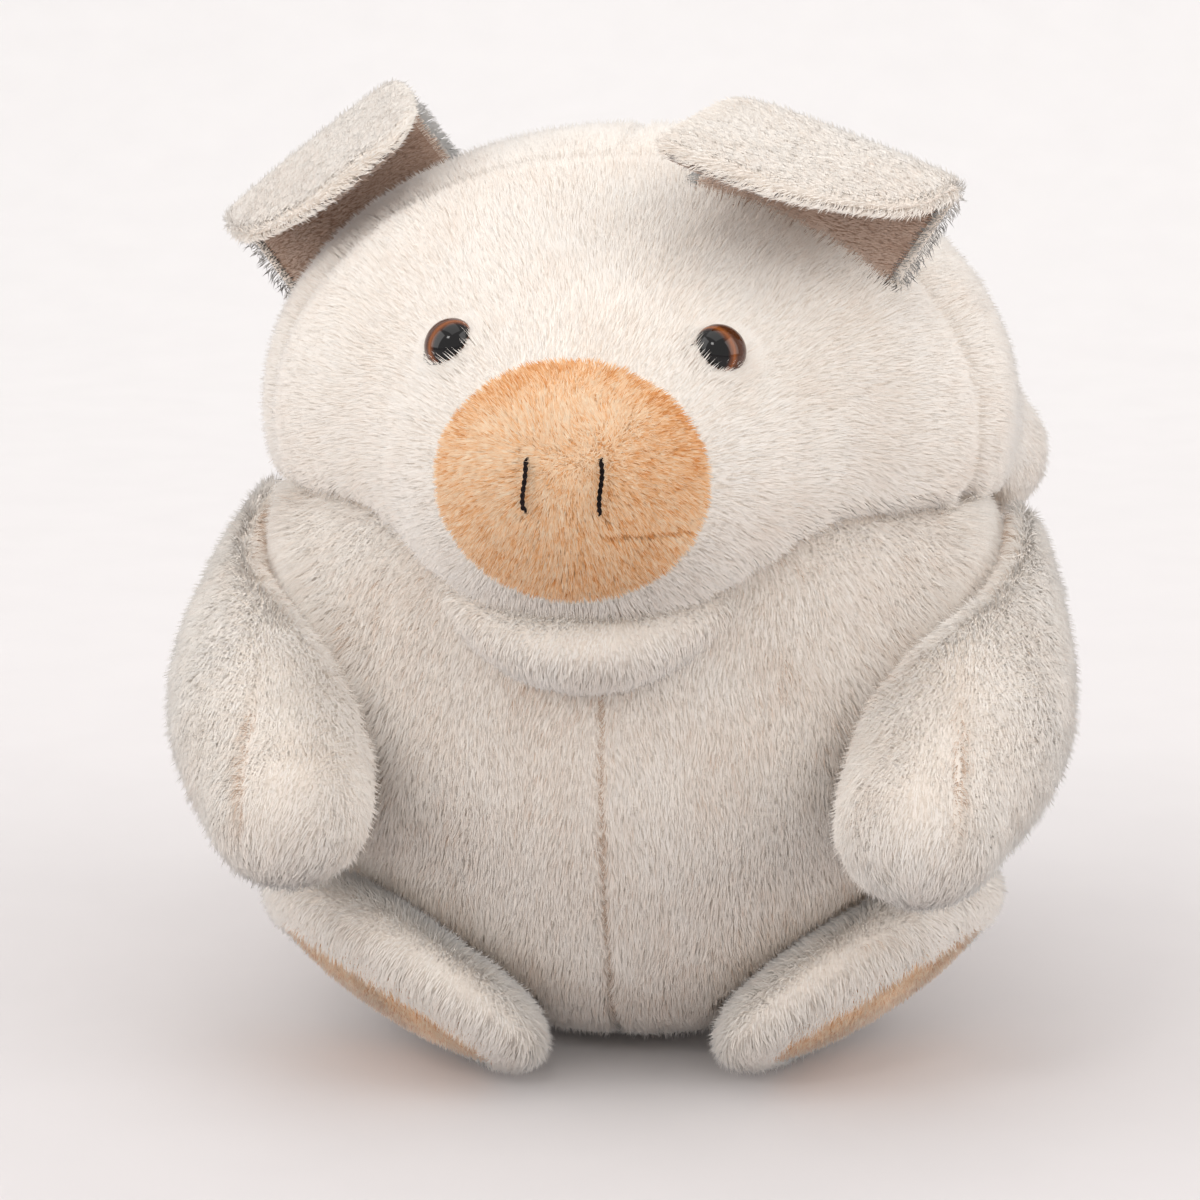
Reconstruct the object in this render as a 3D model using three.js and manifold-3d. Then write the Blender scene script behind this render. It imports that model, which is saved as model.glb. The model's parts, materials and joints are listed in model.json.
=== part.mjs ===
// A sitting plush pig, in millimetres. It faces -Y, +Z is up and its own left side is at +X.
import * as THREE from "three";
import { mergeVertices } from "three/addons/utils/BufferGeometryUtils.js";
import Module from "manifold-3d";

const wasm = await Module();
wasm.setup();

// Fabric and fits
const FABRIC = 4; // plush backing with its pile
const SEAM_GAP = 0.3; // between panels at a seam and between pieces that touch
const FILL_GAP = 0.5; // between a skin and the filling under it
const TURN_GAP = 1; // extra room where one piece turns beside another

// Torso
const TORSO_WIDTH = 192;
const TORSO_DEPTH = 174;
const TORSO_HEIGHT = 148; // seat to the top of the neck dome
const SEAT_RADIUS = 36;
const SIDE_SEAM_BACK = 12; // the side seams run this far behind the middle
const BAG_WIDTH = 84; // pellet bag in the seat
const BAG_HEIGHT = 24;

// Head
const HEAD_WIDTH = 188;
const HEAD_DEPTH = 166;
const HEAD_HEIGHT = 139;
const HEAD_RISE = 4; // skull centre above the top of the torso
const HEAD_BACK = 4; // skull centre behind the toy's axis
const HEAD_TURN = 12; // each way from straight ahead, degrees
const HEAD_YAW = -3; // the head rests turned a little to its right, degrees
const NAPE_WIDTH = 202; // the back of the head swells over the shoulders
const NAPE_DEPTH = 100;
const NAPE_HEIGHT = 76;
const NAPE_BACK = 31; // nape centre behind the skull centre
const NAPE_DROP = 15; // nape centre below the skull centre
const NAPE_BLEND = 12;
const MUZZLE_WIDTH = 92;
const MUZZLE_HEIGHT = 80;
const MUZZLE_REACH = 32; // muzzle front beyond the front of the skull
const MUZZLE_DROP = 2; // muzzle centre below the skull centre
const MUZZLE_BLEND = 24;
const FACE_WIDTH = 88; // face panel between the cheek seams
const EAR_SEAM_AHEAD = 24; // seam between the front and the back of the head
const SNOUT_WIDTH = 55;
const SNOUT_HEIGHT = 47;
const SNOUT_RISE = 2; // snout centre above the muzzle centre
const CHIN_WIDTH = 74;
const CHIN_HEIGHT = 26;
const CHIN_DEPTH = 44;
const CHIN_DROP = 40; // chin centre below the skull centre
const CHIN_BACK = 12; // chin front behind the muzzle front
const NOSTRIL_SPACING = 17;
const NOSTRIL_LENGTH = 12;
const NOSTRIL_RISE = 1; // middle of the stitches above the snout centre
const NOSTRIL_SINK = 1.4; // middle of the thread below the snout's full round
const THREAD_RADIUS = 0.9;

// Safety eyes
const EYE_DIAMETER = 12;
const EYE_BULGE = 5;
const EYE_TURN = 20; // to each side of straight ahead, degrees
const EYE_LIFT = 17; // above the skull centre, degrees
const EYE_PLATE = 1.6;
const EYE_SINK = 2.4; // back of the eye below the top of the pile
const POST_DIAMETER = 4;
const POST_LENGTH = 12;
const WASHER_DIAMETER = 12;
const WASHER_THICKNESS = 2;

// Ears
const EAR_WIDTH = 58;
const EAR_STEM = 9;
const EAR_FOLD_RADIUS = 8;
const EAR_FOLD = 118; // degrees
const EAR_FLAP = 30;
const EAR_SUNK = 9; // sewn edge below the head's surface, before it is cut to fit
const EAR_TAPER = 0.62; // share of the length before the tip's taper
const EAR_TIP_FROM = 0.4; // share of the length before the tip's turn
const EAR_SIDE_LEFT = 41; // from straight up towards the side, degrees
const EAR_SIDE_RIGHT = 57;
const EAR_AHEAD_LEFT = 0.52; // slope of the ear's place ahead of straight up
const EAR_AHEAD_RIGHT = -0.05;
const EAR_LEAN_LEFT = 33; // outwards from upright, degrees
const EAR_LEAN_RIGHT = 39;
const EAR_SLOPE_LEFT = 20; // of the fold line, down towards the side, degrees
const EAR_SLOPE_RIGHT = 38;
const EAR_TIP_LEFT = 8; // the tip turns towards the middle
const EAR_TIP_RIGHT = 7;
const EAR_SLANT_LEFT = 0.85; // share of the tip's taper that the outer edge takes over
const EAR_SLANT_RIGHT = 0.4;
const EAR_LIFT = 35; // degrees, backwards
const EAR_DROP = 4; // degrees, forwards

// Arms
const ARM_LENGTH = 103; // shoulder to the middle of the paw
const ARM_RADIUS = 27;
const SHOULDER_RADIUS = 23;
const SHOULDER_INSET_LEFT = 12.3; // start of the arm inside the torso's side
const SHOULDER_INSET_RIGHT = 16;
const PAW_RADIUS = 20;
const SHOULDER_RISE = 0.8; // of the torso height
const SHOULDER_BACK = 4; // behind straight to the side, degrees
const ARM_FORWARD = 64; // from straight down towards the front, degrees
const ARM_RAISE = 45; // degrees
const ARM_BACK = 1;
const ARM_SEAM_OUT = 2; // seam outside the start of the arm

// Legs
const LEG_LENGTH = 88; // along the oval
const LEG_WIDTH = 56;
const LEG_THICKNESS = 18; // hip to sole
const LEG_AHEAD_RIGHT = 10; // the right leg is sewn on further to the front, degrees
const HIP_CUT = 8; // the hip is pressed this far into the torso
const HIP_RISE = 25; // hip centre above the lowest place of the hip flat, along the flat
const HIP_FORWARD = 16; // hip centre moved towards the toe
const SOLE_LENGTH = 66;
const SOLE_WIDTH = 36;
const SOLE_BULGE = 4;
const LEG_TURN_UP = 15; // degrees, the toe goes up
const LEG_TURN_DOWN = 0; // the toe already rests beside the seat

// Tail
const TAIL_RADIUS = 5;
const TAIL_CURL = 9;
const TAIL_RISE = 0.36; // of the torso height
const TAIL_WAG = 25; // degrees each way

// Facets of the outer and the inner surfaces
const ROUND = 24;
const ROUND_INNER = 14;
const HEAD_DETAIL = 6;
const HEAD_DETAIL_INNER = 3;

const rad = THREE.MathUtils.degToRad;
const vec = (x, y, z) => new THREE.Vector3(x, y, z);

// Solids: a geometry becomes a closed solid, and a solid becomes a geometry again.
function solidFrom(geometry) {
  const bare = geometry.index ? geometry.toNonIndexed() : geometry.clone();
  bare.deleteAttribute("normal");
  bare.deleteAttribute("uv");
  const merged = mergeVertices(bare, 1e-3);
  const corners = merged.index.array;
  const kept = [];
  for (let i = 0; i < corners.length; i += 3) {
    const [a, b, c] = [corners[i], corners[i + 1], corners[i + 2]];
    if (a !== b && b !== c && c !== a) kept.push(a, b, c);
  }
  const build = (triVerts) =>
    new wasm.Manifold(
      new wasm.Mesh({
        numProp: 3,
        vertProperties: new Float32Array(merged.attributes.position.array),
        triVerts: new Uint32Array(triVerts),
      }),
    );
  const solid = build(kept);
  if (solid.volume() > 0) return solid;
  return build(kept.reverse());
}

function geometryFrom(solid) {
  const mesh = solid.getMesh();
  const geometry = new THREE.BufferGeometry();
  geometry.setAttribute("position", new THREE.BufferAttribute(mesh.vertProperties, 3));
  geometry.setIndex(new THREE.BufferAttribute(mesh.triVerts, 1));
  geometry.computeVertexNormals();
  return geometry;
}

// The largest body of a cut, without the crumbs that a cut can leave at an edge.
function mainBody(solid) {
  return solid.decompose().sort((a, b) => b.volume() - a.volume())[0];
}

function block(x0, x1, y0, y1, z0, z1) {
  const box = new THREE.BoxGeometry(x1 - x0, y1 - y0, z1 - z0);
  box.translate((x0 + x1) / 2, (y0 + y1) / 2, (z0 + z1) / 2);
  return solidFrom(box);
}

const FAR = 400;
const xAbove = (x) => block(x, FAR, -FAR, FAR, -FAR, FAR);
const xBelow = (x) => block(-FAR, x, -FAR, FAR, -FAR, FAR);
const yAbove = (y) => block(-FAR, FAR, y, FAR, -FAR, FAR);
const yBelow = (y) => block(-FAR, FAR, -FAR, y, -FAR, FAR);
const zAbove = (z) => block(-FAR, FAR, -FAR, FAR, z, FAR);

// A matrix that sends local Z along `normal`, local X as near as can be to `along`, at `point`.
function placement(point, normal, along) {
  const z = normal.clone().normalize();
  const x = along.clone().addScaledVector(z, -along.dot(z)).normalize();
  const y = z.clone().cross(x);
  return new THREE.Matrix4().makeBasis(x, y, z).setPosition(point);
}

function turned(geometry, point, axis, degrees) {
  const about = new THREE.Matrix4().makeTranslation(point.x, point.y, point.z);
  about.multiply(new THREE.Matrix4().makeRotationAxis(axis.clone().normalize(), rad(degrees)));
  about.multiply(new THREE.Matrix4().makeTranslation(-point.x, -point.y, -point.z));
  return geometry.clone().applyMatrix4(about);
}

// Cuts a moving solid so that it stays clear of a neighbour over its whole range.
function carve(solid, neighbour, hinge, steps) {
  let left = solid;
  for (let i = 0; i <= steps; i++) {
    const angle = hinge.low + ((hinge.high - hinge.low) * i) / steps;
    left = left.subtract(solidFrom(turned(neighbour, hinge.point, hinge.axis, -angle)));
  }
  return left;
}

// A round form about Z: its profile is drawn from the lower axis point to the upper one.
function roundForm(profile, inset, segments) {
  const moved = profile.map((p, i) => {
    const before = profile[Math.max(i - 1, 0)];
    const after = profile[Math.min(i + 1, profile.length - 1)];
    const first = p.clone().sub(before).normalize();
    const second = after.clone().sub(p).normalize();
    const along = first.clone().add(second).normalize();
    const spread = Math.max(along.dot(i ? first : second), 0.5);
    const onAxis = p.x === 0;
    const out = onAxis ? new THREE.Vector2(0, i ? 1 : -1) : new THREE.Vector2(along.y, -along.x);
    return p.clone().addScaledVector(out, -inset / (onAxis ? 1 : spread));
  });
  const half = Math.PI / segments;
  return new THREE.LatheGeometry(moved, segments, half).rotateX(Math.PI / 2);
}

// Torso: an egg with a flat seat, wider than deep.
const torsoShape = [
  [0.5, 0.03],
  [0.64, 0.085],
  [0.79, 0.19],
  [0.91, 0.32],
  [0.98, 0.45],
  [1, 0.57],
  [0.99, 0.7],
  [0.965, 0.8],
  [0.92, 0.88],
  [0.81, 0.945],
  [0.52, 0.985],
];
const torsoProfile = [
  new THREE.Vector2(0, 0),
  new THREE.Vector2(SEAT_RADIUS, 0),
  ...torsoShape.map(([r, h]) => new THREE.Vector2((r * TORSO_WIDTH) / 2, h * TORSO_HEIGHT)),
  new THREE.Vector2(0, TORSO_HEIGHT),
];
const torsoForm = (inset, segments) =>
  roundForm(torsoProfile, inset, segments).scale(1, TORSO_DEPTH / TORSO_WIDTH, 1);

function torsoRadius(z) {
  for (let i = 1; i < torsoProfile.length; i++) {
    const [a, b] = [torsoProfile[i - 1], torsoProfile[i]];
    if (z >= a.y && z <= b.y && b.y > a.y) {
      return a.x + ((b.x - a.x) * (z - a.y)) / (b.y - a.y);
    }
  }
  return 0;
}

function torsoPoint(turnDegrees, z) {
  const r = torsoRadius(z);
  const depth = TORSO_DEPTH / TORSO_WIDTH;
  return vec(r * Math.cos(rad(turnDegrees)), -r * depth * Math.sin(rad(turnDegrees)), z);
}

// Head: a skull, a muzzle and a nape that flow into each other.
const skull = {
  at: vec(0, HEAD_BACK, TORSO_HEIGHT + HEAD_RISE),
  half: vec(HEAD_WIDTH / 2, HEAD_DEPTH / 2, HEAD_HEIGHT / 2),
};
const muzzleFront = skull.at.y - HEAD_DEPTH / 2 - MUZZLE_REACH;
const muzzleHalfDepth = MUZZLE_WIDTH / 2;
const muzzle = {
  at: vec(0, muzzleFront + muzzleHalfDepth, skull.at.z - MUZZLE_DROP),
  half: vec(MUZZLE_WIDTH / 2, muzzleHalfDepth, MUZZLE_HEIGHT / 2),
};

const nape = {
  at: vec(0, skull.at.y + NAPE_BACK, skull.at.z - NAPE_DROP),
  half: vec(NAPE_WIDTH / 2, NAPE_DEPTH / 2, NAPE_HEIGHT / 2),
};

function ovalDistance(p, oval) {
  const q = p.clone().sub(oval.at).divide(oval.half);
  const k = q.length();
  const slope = q.divide(oval.half).length();
  return slope > 0 ? (k * (k - 1)) / slope : -oval.half.z;
}

function flowTogether(a, b, width) {
  const h = Math.max(width - Math.abs(a - b), 0) / width;
  return Math.min(a, b) - (h * h * width) / 4;
}

function headDistance(p) {
  const front = flowTogether(ovalDistance(p, skull), ovalDistance(p, muzzle), MUZZLE_BLEND);
  return flowTogether(front, ovalDistance(p, nape), NAPE_BLEND);
}

// The point of the head's surface, moved in by `inset`, along a direction from the skull centre.
function headPoint(direction, inset = 0) {
  const d = direction.clone().normalize();
  let [low, high] = [0, HEAD_WIDTH + HEAD_DEPTH];
  for (let i = 0; i < 40; i++) {
    const middle = (low + high) / 2;
    const outside = headDistance(skull.at.clone().addScaledVector(d, middle)) + inset > 0;
    if (outside) high = middle;
    else low = middle;
  }
  return skull.at.clone().addScaledVector(d, low);
}

function headNormal(p) {
  const e = 0.5;
  const slope = (step) => headDistance(p.clone().add(step)) - headDistance(p.clone().sub(step));
  return vec(slope(vec(e, 0, 0)), slope(vec(0, e, 0)), slope(vec(0, 0, e))).normalize();
}

function headForm(inset, detail) {
  const geometry = new THREE.IcosahedronGeometry(1, detail);
  const position = geometry.attributes.position;
  for (let i = 0; i < position.count; i++) {
    const p = headPoint(new THREE.Vector3().fromBufferAttribute(position, i), inset);
    position.setXYZ(i, p.x, p.y, p.z);
  }
  return geometry;
}

// A limb about a bent spine, with round ends.
function limbForm(points, radii, inset, sides, rings) {
  const spine = new THREE.CatmullRomCurve3(points);
  const widths = new THREE.SplineCurve(radii.map((r, i) => new THREE.Vector2(i, r)));
  const stations = [];
  const capRings = 3;
  for (let i = 0; i <= capRings; i++) stations.push([0, (i / capRings - 1) * 90]);
  for (let i = 1; i < rings; i++) stations.push([i / rings, 0]);
  for (let i = 0; i <= capRings; i++) stations.push([1, (i / capRings) * 90]);
  const side = vec(1, 0, 0);
  const ringOf = ([t, tilt]) => {
    const radius = widths.getPoint(t).y - inset;
    const along = spine.getTangent(t);
    const centre = spine.getPoint(t).addScaledVector(along, radius * Math.sin(rad(tilt)));
    const across = side.clone().addScaledVector(along, -side.dot(along)).normalize();
    const other = along.clone().cross(across);
    const ring = [];
    for (let j = 0; j < sides; j++) {
      const turn = (2 * Math.PI * (j + 0.5)) / sides;
      const reach = Math.abs(tilt) === 90 ? 0 : radius * Math.cos(rad(tilt));
      const p = centre.clone().addScaledVector(across, reach * Math.cos(turn));
      ring.push(p.addScaledVector(other, reach * Math.sin(turn)));
    }
    return ring;
  };
  return skinOver(stations.map(ringOf));
}

// Joins rings of equal length into one surface.
function skinOver(rings) {
  const corners = [];
  const push = (...points) => points.forEach((p) => corners.push(p.x, p.y, p.z));
  for (let i = 1; i < rings.length; i++) {
    const [a, b] = [rings[i - 1], rings[i]];
    for (let j = 0; j < a.length; j++) {
      const k = (j + 1) % a.length;
      push(a[j], a[k], b[k]);
      push(a[j], b[k], b[j]);
    }
  }
  const geometry = new THREE.BufferGeometry();
  geometry.setAttribute("position", new THREE.Float32BufferAttribute(corners, 3));
  return geometry;
}

const group = new THREE.Group();
const looks = {
  cream: new THREE.MeshStandardMaterial({ color: "#ece3d8", roughness: 0.95 }),
  tan: new THREE.MeshStandardMaterial({ color: "#dcae84", roughness: 0.95 }),
  fill: new THREE.MeshStandardMaterial({ color: "#f4f2ee", roughness: 1 }),
  bag: new THREE.MeshStandardMaterial({ color: "#d8d4cc", roughness: 0.9 }),
  lens: new THREE.MeshStandardMaterial({ color: "#6b3c18", roughness: 0.1 }),
  black: new THREE.MeshStandardMaterial({ color: "#141214", roughness: 0.35 }),
  thread: new THREE.MeshStandardMaterial({ color: "#2a2224", roughness: 0.8 }),
};
function add(name, solid, look) {
  const mesh = new THREE.Mesh(geometryFrom(solid), look);
  mesh.name = name;
  group.add(mesh);
}

// Hips: a flat is pressed into the torso for each leg, square to the leg's own axis.
function legFrame(side, ahead) {
  const upright = vec(0, 0, 1);
  const normal = vec(0.6 * side, -0.35, -0.72).applyAxisAngle(upright, -side * rad(ahead)).normalize();
  const along = vec(-0.79 * side, -0.68, -0.25).applyAxisAngle(upright, -side * rad(ahead));
  let reach = 0;
  let touch = null;
  for (let z = 1; z < TORSO_HEIGHT / 2; z++) {
    for (let turn = 0; turn <= 90; turn += 3) {
      const p = torsoPoint(turn, z);
      p.x *= side;
      if (p.dot(normal) > reach) [reach, touch] = [p.dot(normal), p];
    }
  }
  const point = touch.addScaledVector(normal, -HIP_CUT);
  const upwards = upright.addScaledVector(normal, -normal.z).normalize();
  const frame = placement(point.addScaledVector(upwards, HIP_RISE), normal, along);
  return frame.multiply(new THREE.Matrix4().makeTranslation(HIP_FORWARD, 0, 0));
}

const earLeft = {
  place: EAR_SIDE_LEFT,
  ahead: EAR_AHEAD_LEFT,
  lean: EAR_LEAN_LEFT,
  slope: EAR_SLOPE_LEFT,
  tip: EAR_TIP_LEFT,
  slant: EAR_SLANT_LEFT,
};
const earRight = {
  place: EAR_SIDE_RIGHT,
  ahead: EAR_AHEAD_RIGHT,
  lean: EAR_LEAN_RIGHT,
  slope: EAR_SLOPE_RIGHT,
  tip: EAR_TIP_RIGHT,
  slant: EAR_SLANT_RIGHT,
};
const sides = [
  { name: "left", side: 1, ear: earLeft, inset: SHOULDER_INSET_LEFT, legAhead: 0 },
  { name: "right", side: -1, ear: earRight, inset: SHOULDER_INSET_RIGHT, legAhead: LEG_AHEAD_RIGHT },
];
for (const part of sides) part.leg = legFrame(part.side, part.legAhead);

function hipCut(frame, inset) {
  const box = new THREE.BoxGeometry(FAR, FAR, FAR / 2);
  box.translate(0, 0, FAR / 4 - inset);
  return solidFrom(box.applyMatrix4(frame));
}

function torsoSolid(inset, segments) {
  let solid = solidFrom(torsoForm(inset, segments));
  for (const part of sides) solid = solid.subtract(hipCut(part.leg, inset));
  return solid;
}

const torsoSkin = torsoSolid(0, ROUND).subtract(torsoSolid(FABRIC, ROUND_INNER));
const half = SEAM_GAP / 2;
const seam = SIDE_SEAM_BACK;
const torsoPanels = {
  torso_front_left: torsoSkin.intersect(xAbove(half)).intersect(yBelow(seam - half)),
  torso_front_right: torsoSkin.intersect(xBelow(-half)).intersect(yBelow(seam - half)),
  torso_back_left: torsoSkin.intersect(xAbove(half)).intersect(yAbove(seam + half)),
  torso_back_right: torsoSkin.intersect(xBelow(-half)).intersect(yAbove(seam + half)),
};
for (const [name, solid] of Object.entries(torsoPanels)) add(name, mainBody(solid), looks.cream);

const bagForm = (grow) => {
  const form = new THREE.SphereGeometry(1, 14, 8).rotateX(Math.PI / 2);
  const wide = BAG_WIDTH / 2 + grow;
  form.scale(wide, wide * 0.92, BAG_HEIGHT / 2 + grow);
  return form.translate(0, 0, FABRIC + FILL_GAP + BAG_HEIGHT / 2);
};
const bagMiddle = FABRIC + FILL_GAP + BAG_HEIGHT / 2;
add("pellet_bag", solidFrom(bagForm(0)), looks.bag);
const torsoFill = torsoSolid(FABRIC + FILL_GAP, ROUND_INNER).intersect(zAbove(bagMiddle));
add("torso_stuffing", mainBody(torsoFill.subtract(solidFrom(bagForm(FILL_GAP)))), looks.fill);

// Head panels. The head turns about the toy's upright axis, so it is cut clear of the neck dome.
const neck = { point: vec(0, 0, TORSO_HEIGHT), axis: vec(0, 0, 1), low: -HEAD_TURN, high: HEAD_TURN };
const clearOfTorso = (solid) => {
  const still = solid.subtract(solidFrom(torsoForm(-SEAM_GAP, ROUND)));
  return carve(still, torsoForm(-SEAM_GAP - TURN_GAP, ROUND), neck, 1);
};
const ovalPost = (width, height, grow) => {
  const post = new THREE.CylinderGeometry(1, 1, FAR / 2, 24);
  post.scale(width / 2 + grow, 1, height / 2 + grow);
  return solidFrom(post.translate(0, muzzle.at.y - FAR / 4, muzzle.at.z + SNOUT_RISE));
};
const headCore = solidFrom(headForm(FABRIC, HEAD_DETAIL_INNER));
const headSkin = clearOfTorso(solidFrom(headForm(0, HEAD_DETAIL)).subtract(headCore));

// Eyes sit square on the face, with a post and a lock washer behind the skin.
for (const part of sides) {
  const turn = rad(EYE_TURN) * part.side;
  const direction = vec(
    Math.sin(turn) * Math.cos(rad(EYE_LIFT)),
    -Math.cos(turn) * Math.cos(rad(EYE_LIFT)),
    Math.sin(rad(EYE_LIFT)),
  );
  const seat = headPoint(direction);
  const frame = placement(seat, headNormal(seat), vec(0, 0, 1));
  const ring = (points) =>
    new THREE.LatheGeometry(
      points.map(([r, h]) => new THREE.Vector2(r, h)),
      12,
    )
      .rotateX(Math.PI / 2)
      .applyMatrix4(frame);
  const r = EYE_DIAMETER / 2;
  const post = POST_DIAMETER / 2;
  const floor = -EYE_SINK;
  const plate = floor + EYE_PLATE;
  const dome = [];
  for (let i = 0; i <= 6; i++) {
    const a = (i / 6) * (Math.PI / 2);
    dome.push([i === 6 ? 0 : r * Math.cos(a), plate + SEAM_GAP + EYE_BULGE * Math.sin(a)]);
  }
  part.eyeLens = ring([[0, plate + SEAM_GAP], ...dome]);
  part.eyePost = ring([
    [0, -POST_LENGTH],
    [post, -POST_LENGTH],
    [post, floor],
    [r, floor],
    [r, plate],
    [0, plate],
  ]);
  part.eyeRoom = ring([
    [0, -POST_LENGTH - 1],
    [post + SEAM_GAP, -POST_LENGTH - 1],
    [post + SEAM_GAP, floor - SEAM_GAP],
    [r + SEAM_GAP, floor - SEAM_GAP],
    [r + SEAM_GAP, plate + EYE_BULGE + 2],
    [0, plate + EYE_BULGE + 2],
  ]);
  const top = -FABRIC - FILL_GAP;
  const washer = WASHER_DIAMETER / 2;
  const washerRing = (grow) =>
    ring([
      [post + SEAM_GAP - grow, top - WASHER_THICKNESS - grow],
      [washer + grow, top - WASHER_THICKNESS - grow],
      [washer + grow, top + grow],
      [post + SEAM_GAP - grow, top + grow],
      [post + SEAM_GAP - grow, top - WASHER_THICKNESS - grow],
    ]);
  part.washer = washerRing(0);
  part.washerRoom = washerRing(SEAM_GAP);
}
const withoutEyes = (solid) =>
  sides.reduce(
    (left, part) => left.subtract(solidFrom(part.eyeRoom)).subtract(solidFrom(part.washerRoom)),
    solid,
  );

const front = (solid) => solid.intersect(yBelow(-EAR_SEAM_AHEAD - half));
const back = (solid) => solid.intersect(yAbove(-EAR_SEAM_AHEAD + half));
const faceHalf = FACE_WIDTH / 2;
const snoutHole = ovalPost(SNOUT_WIDTH, SNOUT_HEIGHT, SEAM_GAP);
const face = front(headSkin).intersect(block(-faceHalf, faceHalf, -FAR, FAR, -FAR, FAR));
add("head_face", mainBody(withoutEyes(face.subtract(snoutHole))), looks.cream);
add("head_left_cheek", mainBody(front(headSkin).intersect(xAbove(faceHalf + SEAM_GAP))), looks.cream);
add("head_right_cheek", mainBody(front(headSkin).intersect(xBelow(-faceHalf - SEAM_GAP))), looks.cream);
add("head_back_left", mainBody(back(headSkin).intersect(xAbove(half))), looks.cream);
add("head_back_right", mainBody(back(headSkin).intersect(xBelow(-half))), looks.cream);

// Nostrils: two upright stitches, each pulled into a groove of the snout.
function stitch(side, grow) {
  const outline = new THREE.Shape();
  outline.absarc(0, 0, THREAD_RADIUS + grow, 0, 2 * Math.PI);
  const length = NOSTRIL_LENGTH + 2 * grow;
  const line = [-0.5, -0.25, 0, 0.25, 0.5].map((t) => {
    const height = muzzle.at.z + SNOUT_RISE + NOSTRIL_RISE + t * length;
    const aim = vec((side * NOSTRIL_SPACING) / 2, muzzleFront, height);
    const p = headPoint(aim.sub(skull.at));
    return p.addScaledVector(headNormal(p), -NOSTRIL_SINK);
  });
  return solidFrom(
    new THREE.ExtrudeGeometry(outline, {
      steps: 6,
      curveSegments: 4,
      extrudePath: new THREE.CatmullRomCurve3(line),
    }),
  );
}
let snout = headSkin.intersect(ovalPost(SNOUT_WIDTH, SNOUT_HEIGHT, 0));
for (const part of sides) snout = snout.subtract(stitch(part.side, SEAM_GAP));
add("snout", mainBody(snout), looks.tan);
for (const part of sides) add(part.name + "_nostril_stitch", stitch(part.side, 0), looks.thread);

const headFill = solidFrom(headForm(FABRIC + FILL_GAP, HEAD_DETAIL_INNER)).subtract(
  solidFrom(torsoForm(-FABRIC, ROUND_INNER)),
);
add("head_stuffing", mainBody(withoutEyes(headFill)), looks.fill);
for (const part of sides) {
  add(part.name + "_eye_lens", solidFrom(part.eyeLens), looks.lens);
  add(part.name + "_eye_post", solidFrom(part.eyePost), looks.black);
  add(part.name + "_eye_washer", solidFrom(part.washer), looks.black);
}

// Chin: a soft lip under the mouth line, between the muzzle and the chest.
const chinForm = new THREE.SphereGeometry(1, 16, 10);
chinForm.scale(CHIN_WIDTH / 2, CHIN_DEPTH / 2, CHIN_HEIGHT / 2);
const chinFront = muzzleFront + CHIN_BACK;
chinForm.translate(0, chinFront + CHIN_DEPTH / 2, skull.at.z - CHIN_DROP);
const chin = solidFrom(chinForm).subtract(solidFrom(headForm(-SEAM_GAP, HEAD_DETAIL)));
add("chin", mainBody(clearOfTorso(chin)), looks.cream);

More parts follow.
